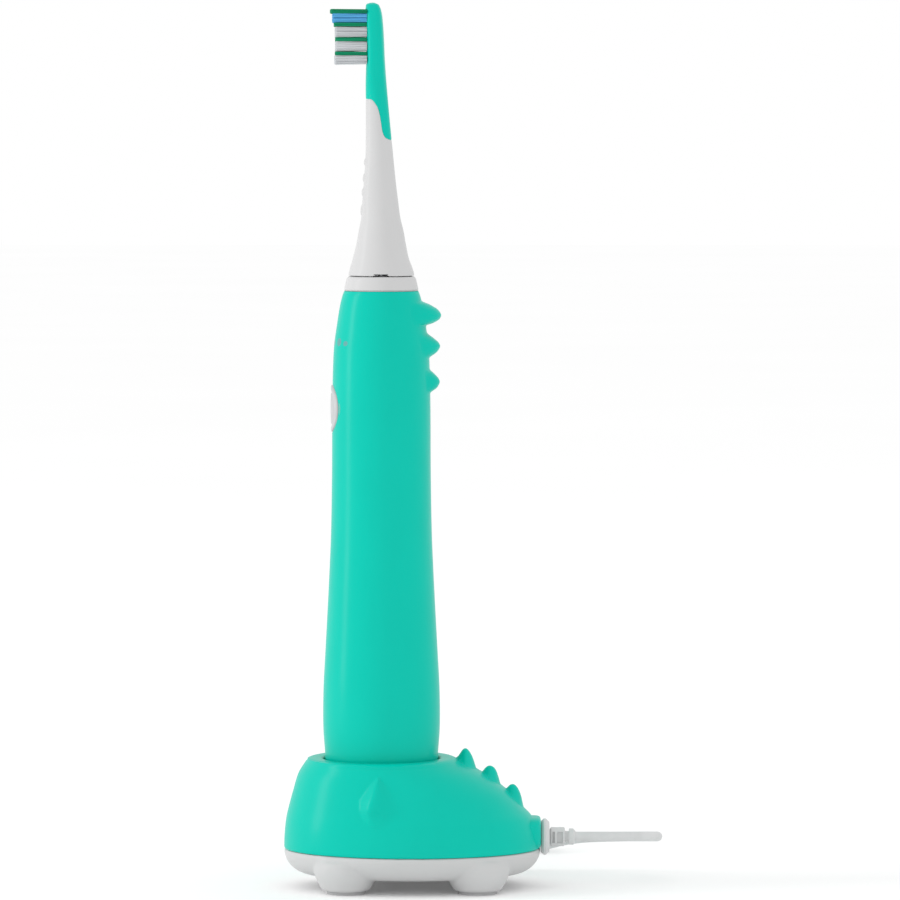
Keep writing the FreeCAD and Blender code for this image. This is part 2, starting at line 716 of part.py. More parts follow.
membrane_seat = cylinder("membrane_seat", "membrane_rad + 0.1", "button_hole_step - 6",
                         "axis_x - button_hole_step", "0", "button_z", ALONG_X)
grip_openings = fuse("grip_openings", [grip_hollow, button_hole, membrane_seat])
node(cut("handle", grip_whole, grip_openings), "handle_shell")
node(turned("collar", [("collar_bore_rad", "grip_top_z"), ("collar_rad", "grip_top_z"),
                       ("collar_rad", "collar_belt_z"), ("collar_high_rad", "collar_high_z"),
                       ("collar_top_rad", "collar_top_z"), ("collar_bore_rad", "collar_top_z")]), "handle_collar")

# ---------------------------------------------------------------- foot of the handle and receiving coil

node(turned("cap", [("recess_rad", "cap_z"), ("cap_rad - 0.6", "cap_z"), ("cap_rad", "cap_z + 0.6"),
                    ("cap_rad", "grip_z"), ("cap_plug_rad", "grip_z"), ("cap_plug_rad", "groove_z"),
                    ("groove_rad", "groove_z"), ("groove_rad", "groove_z + groove_wide"),
                    ("cap_plug_rad", "groove_z + groove_wide"), ("cap_plug_rad", "cap_plug_top_z"),
                    ("cap_hollow_rad", "cap_plug_top_z"), ("cap_hollow_rad", "cap_hollow_z"),
                    ("recess_wall_rad", "cap_hollow_z"), ("recess_wall_rad", "cap_plug_top_z"),
                    ("0", "cap_plug_top_z"), ("0", "recess_top_z"), ("recess_rad", "recess_top_z")]), "bottom_cap")
cap_ring = bind(doc.addObject("Part::Torus", "cap_ring"), Radius1="groove_rad + 0.62", Radius2="0.6")
node(place(cap_ring, "axis_x", "0", "groove_z + 0.8"), "cap_seal")
node(turned("former", [("recess_wall_rad + 0.05", "cap_hollow_z"), ("cap_hollow_rad - 0.1", "cap_hollow_z"),
                       ("cap_hollow_rad - 0.1", "cap_hollow_z + 0.8"),
                       ("former_hub_rad", "cap_hollow_z + 0.8"), ("former_hub_rad", "former_top_z - 0.8"),
                       ("cap_hollow_rad - 0.1", "former_top_z - 0.8"), ("cap_hollow_rad - 0.1", "former_top_z"),
                       ("recess_wall_rad + 0.05", "former_top_z")]), "coil_former")
node(ring("receiver", "former_hub_rad", "receiver_rad", "cap_hollow_z + 0.8", "former_top_z - 0.8"),
     "receiver_coil")

# ---------------------------------------------------------------- chassis, cell and board

frame_tube = ring("frame_tube", "frame_rad - frame_wall", "frame_rad", "frame_z", "frame_top_z")
frame_discs = [cylinder("frame_disc", "frame_rad", "1.5", "axis_x", "0", height)
               for height in ("frame_z", "cell_z - 2", "cell_z + cell_long + 0.6", "frame_top_z - 1.5")]
frame_whole = fuse("frame_whole", [frame_tube] + frame_discs)
open_front = block("open_front", "20", "40", "frame_top_z", "axis_x - 26.4", "-20", "0")
wire_way = cylinder("wire_way", "2", "frame_top_z", "axis_x + 8", "0", "0")
node(cut("frame", frame_whole, fuse("frame_openings", [open_front, wire_way])), "inner_frame")
node(cylinder("cell", "cell_rad", "cell_long", "axis_x + cell_x", "0", "cell_z"), "battery_cell")
tabs = [block("tab", "9", "5", "0.3", "axis_x - 4.5", "-2.5", height)
        for height in ("cell_z - 0.3", "cell_z + cell_long")]
node(group("tabs", tabs), "battery_tabs")
node(block("card", "card_thick", "card_half + card_half", "card_top_z - card_z", "axis_x - card_front",
           "0 - card_half", "card_z"), "handle_board")
HANDLE_CHIPS = [("66", "-3.5", "7", "9"), ("80", "-3", "6", "6"), ("92", "-4.4", "4", "3"), ("92", "1", "3.4", "5"),
                ("104", "-2.5", "5", "5"), ("116", "-4", "3", "8"), ("140", "-1.2", "2.4", "1.6")]
parts = [block("handle_chip", "0.9", wide, high, "axis_x - card_front - 0.9", y, z)
         for z, y, wide, high in HANDLE_CHIPS]
node(group("handle_chips", parts), "handle_board_parts")
switch_body = block("switch_body", "1", "switch_half + switch_half", "switch_half + switch_half",
                    "axis_x - card_front - 1", "0 - switch_half", "button_z - switch_half")
switch_cap = cylinder("switch_cap", "1", "switch_front - card_front - 1", "axis_x - switch_front", "0",
                      "button_z", ALONG_X)
node(fuse("switch", [switch_body, switch_cap]), "tact_switch")
node(cylinder("membrane", "membrane_rad", "membrane_front - membrane_back", "axis_x - membrane_front", "0",
              "button_z", ALONG_X), "button_seal")

# ---------------------------------------------------------------- button

button_rod = cylinder("button_rod", "button_rad", "button_front - button_back + 2", "axis_x - button_front - 2",
                      "0", "button_z", ALONG_X)
crown = cylinder("button_crown", "button_front", "20", "axis_x", "0", "button_z - 10")
node(common("button", button_rod, crown), "power_button")

# ---------------------------------------------------------------- motor and drive

node(turned("motor_can", [("motor_inner_rad", "motor_z"), ("motor_rad", "motor_z"), ("motor_rad", "motor_top_z"),
                          ("motor_inner_rad", "motor_top_z")]), "motor_case")
node(ring("core", "core_rad", "motor_inner_rad", "core_z", "core_top_z"), "stator_core")
coils = [ring("stator_winding", "core_rad", "motor_inner_rad - 0.1", low, high)
         for low, high in (("core_z - 7", "core_z - 0.5"), ("core_top_z + 0.5", "core_top_z + 7"))]
node(group("stator_windings", coils), "stator_coils")
node(ring("rear_bush", "shaft_bore_rad", "motor_inner_rad", "motor_z + 2.5", "motor_z + 2.5 + bearing_long"),
     "rear_bearing")
node(ring("front_bush", "shaft_bore_rad", "motor_inner_rad", "motor_top_z - bearing_long - 1", "motor_top_z - 1"),
     "front_bearing")
node(ring("damper", "motor_rad", "hollow_high_rad - 0.1", "card_top_z + 1.5", "hollow_high_z"), "motor_damper")
node(turned("seal", [("shaft_bore_rad", "seal_z"), ("seal_flange_rad", "seal_z"),
                     ("seal_flange_rad", "hollow_top_z"), ("seal_neck_rad", "hollow_top_z"),
                     ("seal_neck_rad", "grip_top_z + 1.5"), ("shaft_bore_rad + 1", "seal_top_z"),
                     ("shaft_bore_rad", "seal_top_z")]), "shaft_seal")
node(cylinder("shaft", "shaft_rad", "shaft_top_z - shaft_z", "axis_x", "0", "shaft_z"), "drive_shaft")
node(ring("magnet", "shaft_rad", "magnet_rad", "core_z", "core_top_z"), "rotor_magnet")

# ---------------------------------------------------------------- brush head


head_stem = cylinder("head_stem", "head_stem_rad", "head_z + 3 - cover_z", "axis_x + head_x", "0", "cover_z")
head_box = block("head_box", "face_front + head_back", "head_half + head_half", "head_top_z - head_z",
                 "axis_x - face_front", "0 - head_half", "head_z")
doc.recompute()
head_block = doc.addObject("Part::Fillet", "head_block")
head_block.Base = head_box
rounding = number("head_round")
head_block.Edges = [(index, rounding, rounding) for index in range(1, len(head_box.Shape.Edges) + 1)]
cover_block = fuse("cover_block", [head_stem, head_block])

TUFTS_ACROSS = {"green": 6, "blue": 4, "white": 5}
tufts = {"green": [], "blue": [], "white": []}
tuft_holes = []
anchors = []
for height, colour in TUFT_ROWS:
    radius = "tuft_fine_rad" if colour == "green" else "tuft_full_rad"
    count = TUFTS_ACROSS[colour]
    tip = f"tuft_{colour}_tip"
    for index in range(count):
        across = f"{(index - (count - 1) / 2) * number(f'tuft_{colour}_pitch'):.3f}"
        tufts[colour].append(cylinder(f"tuft_{colour}", radius, f"{tip} - face_front + tuft_deep - anchor_thick",
                                      f"axis_x - {tip}", across, str(height), ALONG_X))
        tuft_holes.append(cylinder("tuft_hole", radius, "tuft_deep + 1", "axis_x - face_front - 1", across,
                                   str(height), ALONG_X))
        anchors.append(cylinder("anchor", radius, "anchor_thick",
                                "axis_x - face_front + tuft_deep - anchor_thick", across, str(height), ALONG_X))
node(cut("cover", cover_block, group("cover_openings", tuft_holes)), "brush_head_cover")
for colour, members in tufts.items():
    node(group(f"tufts_{colour}_set", members), f"tufts_{colour}")
node(group("anchor_set", anchors), "tuft_anchors")

neck_outline = [("socket_rad", "socket_z"), ("skirt_hollow_rad", "socket_z"), ("skirt_hollow_rad", "skirt_z")]
neck_outline += NECK_OUTLINE + [("0", "cover_z"), ("0", "socket_top_z"), ("socket_rad", "socket_top_z")]
neck_form = turned("neck_form", neck_outline)
skirt_notch = block("skirt_notch", "4.2", "14", "0.75", "axis_x - 2.1", "-14", "skirt_z - 0.05")
node(cut("neck", neck_form, skirt_notch), "brush_neck")
socket_body = turned("socket_body", [("shaft_bore_rad", "socket_z"), ("socket_rad", "socket_z"),
                                     ("socket_rad", "clip_z"), ("clip_rad", "clip_z"),
                                     ("clip_rad", "clip_top_z"), ("socket_rad", "clip_top_z"),
                                     ("socket_rad", "socket_top_z"), ("0", "socket_top_z"),
                                     ("0", "shaft_top_z + 0.3"), ("shaft_bore_rad", "shaft_top_z + 0.3")])
node(socket_body, "shaft_socket")
clip_ring = ring("clip_ring", "clip_rad", "socket_rad", "clip_z", "clip_top_z")
clip_gap = block("clip_gap", "6", "2", "4", "axis_x", "-1", "clip_z - 0.5")
node(cut("clip", clip_ring, clip_gap), "grip_spring")

# ---------------------------------------------------------------- check and write

doc.recompute()
failed = [item.Name for item in doc.Objects if {"Invalid", "Error"} & set(item.State)]
if failed:
    raise SystemExit(f"objects that failed: {failed}")
os.makedirs("parts", exist_ok=True)
for piece in NODES:
    shape = piece.Shape
    if shape.isNull() or not shape.isValid() or not shape.Solids:
        raise SystemExit(f"{piece.Label} has no good shape")
    shape.exportStep(f"parts/{piece.Label}.step")
    print(f"{piece.Label}: {len(shape.Solids)} solids, {shape.Volume:.1f} mm3")
print(f"{len(NODES)} nodes")
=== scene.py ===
"""Child's electric toothbrush standing in its charger: the visible model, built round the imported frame."""

import json
import logging
import math
import random
from collections.abc import Iterable, Sequence
from dataclasses import dataclass
from enum import Enum

import bmesh
import bpy
import numpy as np
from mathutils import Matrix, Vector


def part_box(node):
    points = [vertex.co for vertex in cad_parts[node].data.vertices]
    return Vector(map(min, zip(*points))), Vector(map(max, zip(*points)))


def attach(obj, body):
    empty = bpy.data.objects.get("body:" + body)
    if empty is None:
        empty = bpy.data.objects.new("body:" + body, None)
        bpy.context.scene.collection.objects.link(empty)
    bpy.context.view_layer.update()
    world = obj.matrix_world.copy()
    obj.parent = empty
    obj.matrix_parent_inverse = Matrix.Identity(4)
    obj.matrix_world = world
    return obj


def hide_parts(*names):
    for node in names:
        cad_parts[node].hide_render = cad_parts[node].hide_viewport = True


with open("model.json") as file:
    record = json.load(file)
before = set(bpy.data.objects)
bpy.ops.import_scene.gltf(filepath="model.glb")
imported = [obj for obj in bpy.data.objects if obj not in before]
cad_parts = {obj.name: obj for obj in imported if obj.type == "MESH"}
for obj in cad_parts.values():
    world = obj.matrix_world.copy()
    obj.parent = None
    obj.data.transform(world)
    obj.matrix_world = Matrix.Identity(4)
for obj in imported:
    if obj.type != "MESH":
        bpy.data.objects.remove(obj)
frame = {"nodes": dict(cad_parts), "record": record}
log = logging.getLogger("toothbrush")

MM = 0.001
Point = tuple[float, float, float]
Colour = tuple[float, float, float]
Outline = tuple[tuple[float, float], ...]
Table = tuple[tuple[float, ...], ...]


class Body(Enum):
    """The moving bodies of the frame."""

    CHARGER = "charger"
    HANDLE = "handle"
    BUTTON = "button"
    DRIVE = "drive"
    HEAD = "brush_head"


# ---- shader expressions


class Value:
    """A shader socket, or a number, that takes part in Python arithmetic."""

    def __init__(self, shader: "Shader", socket: object) -> None:
        """Wrap a socket.

        Args:
            shader: The shader that the socket belongs to.
            socket: An output socket.
        """
        self.shader = shader
        self.socket = socket

    def _math(self, operation: str, *operands: object, clamp: bool = False) -> "Value":
        """Add a Math node.

        Args:
            operation: The node's operation.
            operands: Its inputs, as values or numbers.
            clamp: Whether the result is held from 0 to 1.

        Returns:
            The node's result.
        """
        settings = {"operation": operation, "use_clamp": clamp}
        made = self.shader.node("ShaderNodeMath", settings, dict(enumerate(operands)))
        return Value(self.shader, made.outputs[0])

    def __add__(self, other: object) -> "Value":
        """Sum."""
        return self._math("ADD", self, other)

    def __radd__(self, other: object) -> "Value":
        """Sum with a number on the left."""
        return self._math("ADD", other, self)

    def __sub__(self, other: object) -> "Value":
        """Difference."""
        return self._math("SUBTRACT", self, other)

    def __rsub__(self, other: object) -> "Value":
        """Difference from a number."""
        return self._math("SUBTRACT", other, self)

    def __mul__(self, other: object) -> "Value":
        """Product."""
        return self._math("MULTIPLY", self, other)

    def __rmul__(self, other: object) -> "Value":
        """Product with a number on the left."""
        return self._math("MULTIPLY", other, self)

    def __truediv__(self, other: object) -> "Value":
        """Quotient."""
        return self._math("DIVIDE", self, other)

    def __pow__(self, other: object) -> "Value":
        """Power."""
        return self._math("POWER", self, other)

    def root(self) -> "Value":
        """Square root."""
        return self._math("SQRT", self)

    def wave(self) -> "Value":
        """Sine."""
        return self._math("SINE", self)

    def most(self, other: object) -> "Value":
        """The larger of two."""
        return self._math("MAXIMUM", self, other)

    def ramp(self, low: float, high: float) -> "Value":
        """0 at low, 1 at high, straight between.

        Args:
            low: Where the ramp starts.
            high: Where it ends; it may be below low.

        Returns:
            The ramp, held from 0 to 1.
        """
        return self._math("DIVIDE", self - low, high - low, clamp=True)


class Shader:
    """A node material with one Principled surface."""

    def __init__(self, name: str) -> None:
        """Start an empty material.

        Args:
            name: The material's name.
        """
        self.material = bpy.data.materials.new(name)
        self.material.use_nodes = True
        self.tree = self.material.node_tree
        self.tree.nodes.clear()
        self.output = self.tree.nodes.new("ShaderNodeOutputMaterial")
        self.surface = self.tree.nodes.new("ShaderNodeBsdfPrincipled")
        self.tree.links.new(self.surface.outputs[0], self.output.inputs["Surface"])

    def node(self, kind: str, settings: dict[str, object],
             inputs: dict[object, object]) -> bpy.types.Node:
        """Add any node.

        Args:
            kind: The node's type.
            settings: Its properties, set first.
            inputs: Values or links by socket name or number.

        Returns:
            The node.
        """
        made = self.tree.nodes.new(kind)
        for key, setting in settings.items():
            setattr(made, key, setting)
        for key, given in inputs.items():
            socket = made.inputs[key]
            if isinstance(given, Value):
                self.tree.links.new(given.socket, socket)
            else:
                socket.default_value = given
        return made

    def place(self) -> Value:
        """Position on the piece, in metres, in the frame."""
        return Value(self, self.node("ShaderNodeTexCoord", {}, {}).outputs["Object"])

    def split(self, vector: Value) -> tuple[Value, Value, Value]:
        """The three parts of a vector.

        Args:
            vector: The vector.

        Returns:
            Its X, Y and Z.
        """
        made = self.node("ShaderNodeSeparateXYZ", {}, {0: vector})
        return tuple(Value(self, made.outputs[i]) for i in range(3))

    def stretched(self, vector: Value, scale: Point) -> Value:
        """A vector times another.

        Args:
            vector: The vector.
            scale: What each of its parts is multiplied by.

        Returns:
            The product.
        """
        made = self.node("ShaderNodeVectorMath", {"operation": "MULTIPLY"}, {0: vector, 1: scale})
        return Value(self, made.outputs[0])

    def noise(self, vector: Value, scale: float, detail: float = 2.0) -> Value:
        """Soft random pattern.

        Args:
            vector: Where it is read.
            scale: Repeats per metre.
            detail: Octaves.

        Returns:
            The pattern, about 0.5.
        """
        inputs = {"Vector": vector, "Scale": scale, "Detail": detail, "Roughness": 0.5}
        return Value(self, self.node("ShaderNodeTexNoise", {}, inputs).outputs[0])

    def mix(self, share: object, first: object, second: object) -> Value:
        """Mix of two colours.

        Args:
            share: How much of the second.
            first: A colour or a colour socket.
            second: A colour or a colour socket.

        Returns:
            The mixed colour.
        """
        colours = {key: (*given, 1.0) if isinstance(given, tuple) else given
                   for key, given in ((6, first), (7, second))}
        made = self.node("ShaderNodeMix", {"data_type": "RGBA"}, {0: share, **colours})
        return Value(self, made.outputs[2])

    def bump(self, height: Value, strength: float, distance: float) -> None:
        """Lead a height into the surface's normal.

        Args:
            height: The height pattern.
            strength: Its strength.
            distance: Its depth in metres.
        """
        inputs = {"Strength": strength, "Distance": distance, "Height": height}
        made = self.node("ShaderNodeBump", {}, inputs)
        self.tree.links.new(made.outputs[0], self.surface.inputs["Normal"])

    def feed(self, **sockets: object) -> None:
        """Set or link the surface's sockets, named with underscores for spaces.

        Args:
            sockets: Values, colours or links by socket name.
        """
        for key, given in sockets.items():
            socket = self.surface.inputs[key.replace("_", " ")]
            if isinstance(given, Value):
                self.tree.links.new(given.socket, socket)
            elif isinstance(given, tuple):
                socket.default_value = (*given, 1.0)
            else:
                socket.default_value = given


def tint(colour: Colour, factor: float) -> Colour:
    """A colour made lighter or darker, by a factor."""
    return tuple(min(1.0, part * factor) for part in colour)


# ---- finishes


@dataclass(frozen=True)
class MouldedPlastic:
    """Satin injection-moulded plastic: faint flow marks, a fine spark-eroded grain, a soft clear top."""

    name: str
    colour: Colour
    roughness: float = 0.34
    grain: float = 0.00002
    coat: float = 0.12
    sheen: float = 0.05

    def make(self) -> bpy.types.Material:
        """Make the material.

        Returns:
            The material.
        """
        shader = Shader(self.name)
        self.dress(shader, self.colour)
        return shader.material

    def dress(self, shader: Shader, base: object) -> None:
        """Lay the finish over a base colour.

        Args:
            shader: The shader to fill in.
            base: The colour under the finish.
        """
        where = shader.place()
        cloud = shader.noise(where, 55.0, 3.0)
        flow = shader.noise(shader.stretched(where, (1.0, 1.0, 0.3)), 220.0, 2.0)
        fine = shader.noise(where, 5200.0, 1.0)
        lighter = shader.mix(cloud.ramp(0.35, 0.75) * 0.35, base, tint(self.colour, 1.07))
        shader.feed(Base_Color=shader.mix(flow.ramp(0.5, 0.8) * 0.2, lighter, tint(self.colour, 0.93)))
        shader.feed(Roughness=self.roughness - 0.04 + cloud * 0.05 + fine * 0.04)
        shader.feed(Coat_Weight=self.coat, Coat_Roughness=0.2, IOR=1.49, Specular_IOR_Level=self.sheen)
        shader.bump(fine + flow * 0.4, 0.35, self.grain)


@dataclass(frozen=True)
class PrintedPlastic(MouldedPlastic):
    """Moulded plastic with a row of plain printed bubbles."""

    ink: Colour = (0.16, 0.3, 0.32)
    bubbles: Table = ()

    def make(self) -> bpy.types.Material:
        """Make the material.

        Returns:
            The material.
        """
        shader = Shader(self.name)
        across, side, up = shader.split(shader.place())
        mask = across.ramp(-0.0085, -0.009)
        shown = None
        for y, z, radius in self.bubbles:
            distance = ((side - y) ** 2.0 + (up - z) ** 2.0).root()
            disc = distance.ramp(radius, radius - 0.0002)
            shown = disc if shown is None else shown.most(disc)
        self.dress(shader, shader.mix(shown * mask * 0.85, self.colour, self.ink))
        return shader.material


@dataclass(frozen=True)
class SoftJacket:
    """Soft matt sleeve of a lead or a rubber pad: powdery, with a fine drawn texture."""

    name: str
    colour: Colour
    roughness: float = 0.55

    def make(self) -> bpy.types.Material:
        """Make the material.

        Returns:
            The material.
        """
        shader = Shader(self.name)
        where = shader.place()
        cloud = shader.noise(where, 160.0, 3.0)
        fine = shader.noise(where, 6500.0, 1.0)
        dusty, clean = tint(self.colour, 0.95), tint(self.colour, 1.04)
        shader.feed(Base_Color=shader.mix(cloud.ramp(0.35, 0.7), dusty, clean))
        shader.feed(Roughness=self.roughness - 0.06 + cloud * 0.12, Sheen_Weight=0.08, Sheen_Roughness=0.5)
        shader.bump(fine, 0.4, 0.00002)
        return shader.material


@dataclass(frozen=True)
class Filament:
    """Nylon bristle: a little lighter at the tips, painted light that makes them look slightly see-through.
    """

    name: str
    colour: Colour
    root_x: float
    tip_x: float

    def make(self) -> bpy.types.Material:
        """Make the material.

        Returns:
            The material.
        """
        shader = Shader(self.name)
        where = shader.place()
        along, _, _ = shader.split(where)
        shade = shader.noise(shader.stretched(where, (0.05, 1.0, 1.0)), 2600.0, 1.0)
        # painted light: the colour turns lighter towards the tips, as if light shone through the thin nylon
        tip = along.ramp(self.root_x, self.tip_x)
        base = shader.mix(shade.ramp(0.3, 0.7), tint(self.colour, 0.82), tint(self.colour, 1.1))
        shader.feed(Base_Color=shader.mix(tip * 0.35, base, tint(self.colour, 1.25)))
        shader.feed(Roughness=0.35 + shade * 0.15, Specular_IOR_Level=0.2)
        shader.bump(shade, 0.2, 0.00002)
        return shader.material


@dataclass(frozen=True)
class Metal:
    """Drawn or plated metal with fine lines along one direction."""

    name: str
    colour: Colour
    roughness: float = 0.3
    lines: Point = (1.0, 1.0, 0.05)

    def make(self) -> bpy.types.Material:
        """Make the material.

        Returns:
            The material.
        """
        shader = Shader(self.name)
        where = shader.place()
        streak = shader.noise(shader.stretched(where, self.lines), 3000.0, 2.0)
        cloud = shader.noise(where, 130.0, 2.0)
        shader.feed(Base_Color=shader.mix(cloud, tint(self.colour, 0.88), tint(self.colour, 1.08)))
        shader.feed(Metallic=1.0, Roughness=self.roughness - 0.05 + streak * 0.12)
        shader.bump(streak, 0.25, 0.00001)
        return shader.material


@dataclass(frozen=True)
class Winding:
    """Enamelled wire wound in even turns, with painted shade in the grooves between them."""

    name: str
    colour: Colour
    pitch: float = 0.0004

    def make(self) -> bpy.types.Material:
        """Make the material.

        Returns:
            The material.
        """
        shader = Shader(self.name)
        where = shader.place()
        _, _, up = shader.split(where)
        turns = (up * (2 * math.pi / self.pitch)).wave() * 0.5 + 0.5
        cloud = shader.noise(where, 300.0, 2.0)
        # painted shade: the colour darkens in the grooves between turns
        shader.feed(Base_Color=shader.mix(turns * 0.6 + cloud * 0.3, tint(self.colour, 0.5), self.colour))
        shader.feed(Metallic=0.7, Roughness=0.25 + cloud * 0.15)
        shader.bump(turns, 0.6, 0.0001)
        return shader.material


@dataclass(frozen=True)
class Board:
    """Circuit board: solder mask with paler tracks."""

    name: str
    colour: Colour

    def make(self) -> bpy.types.Material:
        """Make the material.

        Returns:
            The material.
        """
        shader = Shader(self.name)
        where = shader.place()
        inputs = {"Vector": where, "Scale": 700.0}
        cells = shader.node("ShaderNodeTexVoronoi", {"distance": "MANHATTAN"}, inputs)
        tracks = Value(shader, cells.outputs[0]).ramp(0.25, 0.35)
        cloud = shader.noise(where, 200.0, 2.0)
        shader.feed(Base_Color=shader.mix(tracks * 0.6 + cloud * 0.2, self.colour, tint(self.colour, 2.2)))
        shader.feed(Roughness=0.35 + cloud * 0.1)
        shader.bump(tracks, 0.3, 0.00004)
        return shader.material


GREEN: Colour = (0.0, 0.525, 0.41)
PALE: Colour = (0.59, 0.59, 0.592)


# ---- mesh tools


def eased(stops: Sequence[tuple[float, ...]], at: np.ndarray, column: int) -> np.ndarray:
    """Smooth curve through table stops, without overshoot.

    Args:
        stops: Rows that start with the position and rise.
        at: Where the curve is read.
        column: Which column is read.

    Returns:
        The curve's values.
    """
    x = np.array([row[0] for row in stops], float)
    y = np.array([row[column] for row in stops], float)
    step = np.diff(x)
    slope = np.diff(y) / step
    tangent = np.concatenate([[slope[0]], (slope[1:] + slope[:-1]) / 2, [slope[-1]]])
    turning = np.concatenate([[False], slope[1:] * slope[:-1] <= 0, [False]])
    tangent[turning] = 0.0
    for i, s in enumerate(slope):
        limit = 3 * abs(s)
        tangent[i] = math.copysign(min(abs(tangent[i]), limit), tangent[i])
        tangent[i + 1] = math.copysign(min(abs(tangent[i + 1]), limit), tangent[i + 1])
    at = np.clip(at, x[0], x[-1])
    k = np.clip(np.searchsorted(x, at, side="right") - 1, 0, len(step) - 1)
    t = (at - x[k]) / step[k]
    bend = y[k] * (2 * t**3 - 3 * t**2 + 1) + y[k + 1] * (3 * t**2 - 2 * t**3)
    return bend + step[k] * (tangent[k] * (t**3 - 2 * t**2 + t) + tangent[k + 1] * (t**3 - t**2))


def make_object(name: str, points: np.ndarray, faces: Iterable[Sequence[int]],
                crease: float = 35.0) -> bpy.types.Object:
    """Mesh object from millimetre points.

    Args:
        name: The object's name.
        points: Points in millimetres.
        faces: Corner numbers of each face.
        crease: Angle in degrees above which an edge is shaded sharp.

    Returns:
        The linked object, with normals outward.
    """
    mesh = bpy.data.meshes.new(name)
    corners = [tuple(point) for point in np.asarray(points) * MM]
    mesh.from_pydata(corners, [], [tuple(face) for face in faces])
    work = bmesh.new()
    work.from_mesh(mesh)
    bmesh.ops.recalc_face_normals(work, faces=work.faces)
    work.to_mesh(mesh)
    work.free()
    made = bpy.data.objects.new(name, mesh)
    bpy.context.scene.collection.objects.link(made)
    shade(made, crease)
    return made


def shade(piece: bpy.types.Object, crease: float) -> None:
    """Shade smooth, with sharp edges past an angle in degrees."""
    piece.data.shade_smooth()
    piece.data.set_sharp_from_angle(angle=math.radians(crease))


def sweep_rings(name: str, rings: Sequence[np.ndarray], loop: bool = False,
                crease: float = 35.0) -> bpy.types.Object:
    """Closed surface through rings that have the same number of points.

    Args:
        name: The object's name.
        rings: The rings, in millimetres.
        loop: Whether the last ring joins the first; otherwise both ends are capped.
        crease: Sharp shading angle in degrees.

    Returns:
        The object.
    """
    count = len(rings[0])
    points = np.concatenate(rings)
    faces: list[Sequence[int]] = []
    pairs = len(rings) if loop else len(rings) - 1
    for i in range(pairs):
        a, b = i * count, ((i + 1) % len(rings)) * count
        faces.extend((a + j, a + (j + 1) % count, b + (j + 1) % count, b + j) for j in range(count))
    if not loop:
        faces.append(tuple(range(count)))
        faces.append(tuple(range(len(points) - count, len(points))))
    return make_object(name, points, faces, crease)


def oval_ring(middle: Point, half_x: float, half_y: float, power: float = 2.0, count: int = 64) -> np.ndarray:
    """Level superellipse.

    Args:
        middle: Its centre.
        half_x: Half length along X.
        half_y: Half length along Y.
        power: 2 for an ellipse, more for a squarer one, less for a diamond.
        count: Number of points.

    Returns:
        The ring's points.
    """
    angle = np.linspace(0, 2 * math.pi, count, endpoint=False)
    c, s = np.cos(angle), np.sin(angle)
    x = middle[0] + half_x * np.sign(c) * np.abs(c) ** (2 / power)
    y = middle[1] + half_y * np.sign(s) * np.abs(s) ** (2 / power)
    return np.stack([x, y, np.full(count, middle[2])], axis=1)


def turned(name: str, outline: Sequence[tuple[float, float]], axis_x: float,
           count: int) -> bpy.types.Object:
    """Piece turned about an upright axis, from an outline that closes on itself.

    Args:
        name: The object's name.
        outline: (radius, height) corners.
        axis_x: Where the axis stands.
        count: Points round.

    Returns:
        The object.
    """
    rings = [oval_ring((axis_x, 0.0, z), r, r, 2.0, count) for r, z in outline]
    return sweep_rings(name, rings, loop=True)


def rounded(outline: Sequence[tuple[float, float]], radius: float,
            steps: int) -> list[tuple[float, float]]:
    """A closed outline with every corner rounded.

    Args:
        outline: Corners.
        radius: Rounding radius, cut down where an edge is short.
        steps: Points on each rounding.

    Returns:
        The new outline.
    """
    made: list[tuple[float, float]] = []
    count = len(outline)
    for i in range(count):
        corner = Vector(outline[i])
        before = Vector(outline[i - 1]) - corner
        after = Vector(outline[(i + 1) % count]) - corner
        reach = min(radius, before.length * 0.45, after.length * 0.45)
        start = corner + before.normalized() * reach
        end = corner + after.normalized() * reach
        for k in range(steps + 1):
            t = k / steps
            spot = start * (1 - t) ** 2 + corner * 2 * t * (1 - t) + end * t**2
            made.append((spot.x, spot.y))
    return made


def apply_modifiers(piece: bpy.types.Object) -> None:
    """Turn a piece's modifiers into plain mesh.

    Args:
        piece: The piece.
    """
    graph = bpy.context.evaluated_depsgraph_get()
    mesh = bpy.data.meshes.new_from_object(piece.evaluated_get(graph))
    piece.modifiers.clear()
    piece.data = mesh


def boolean(piece: bpy.types.Object, tool: bpy.types.Object, operation: str) -> None:
    """Cut or join a piece with a tool, which is then removed.

    Args:
        piece: The piece to change.
        tool: The other shape.
        operation: UNION or DIFFERENCE.
    """
    step = piece.modifiers.new("shape", "BOOLEAN")
    step.object = tool
    step.operation = operation
    step.solver = "EXACT"
    apply_modifiers(piece)
    bpy.data.objects.remove(tool)


def melt(piece: bpy.types.Object, voxel: float, passes: int) -> None:
    """Fuse overlapping shells of one object into one smooth skin.

    Args:
        piece: The piece.
        voxel: Grid size in millimetres.
        passes: Smoothing passes.
    """
    remesh = piece.modifiers.new("melt", "REMESH")
    remesh.mode = "VOXEL"
    remesh.voxel_size = voxel * MM
    smooth = piece.modifiers.new("smooth", "SMOOTH")
    smooth.factor = 0.5
    smooth.iterations = passes
    apply_modifiers(piece)
    shade(piece, 60.0)


def join(pieces: Sequence[bpy.types.Object]) -> bpy.types.Object:
    """Put several objects' meshes into the first, and return it.

    Args:
        pieces: The objects.

    Returns:
        The first object.
    """
    work = bmesh.new()
    for piece in pieces:
        work.from_mesh(piece.data)
    work.to_mesh(pieces[0].data)
    work.free()
    for piece in pieces[1:]:
        bpy.data.objects.remove(piece)
    return pieces[0]


def finish_piece(piece: bpy.types.Object, material: bpy.types.Material, body: Body, slot: str,
                 *nodes: str) -> None:
    """Dress a piece and hand it to the frame.

    Args:
        piece: The piece.
        material: Its finish.
        body: The body it rides on.
        slot: The record's material slot; not used.
        nodes: CAD nodes that it stands for.
    """
    piece.data.materials.clear()
    piece.data.materials.append(material)
    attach(piece, body.value)
    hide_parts(*nodes)
    log.info("%s on %s, %d faces", piece.name, body.value, len(getattr(piece.data, "polygons", [])))


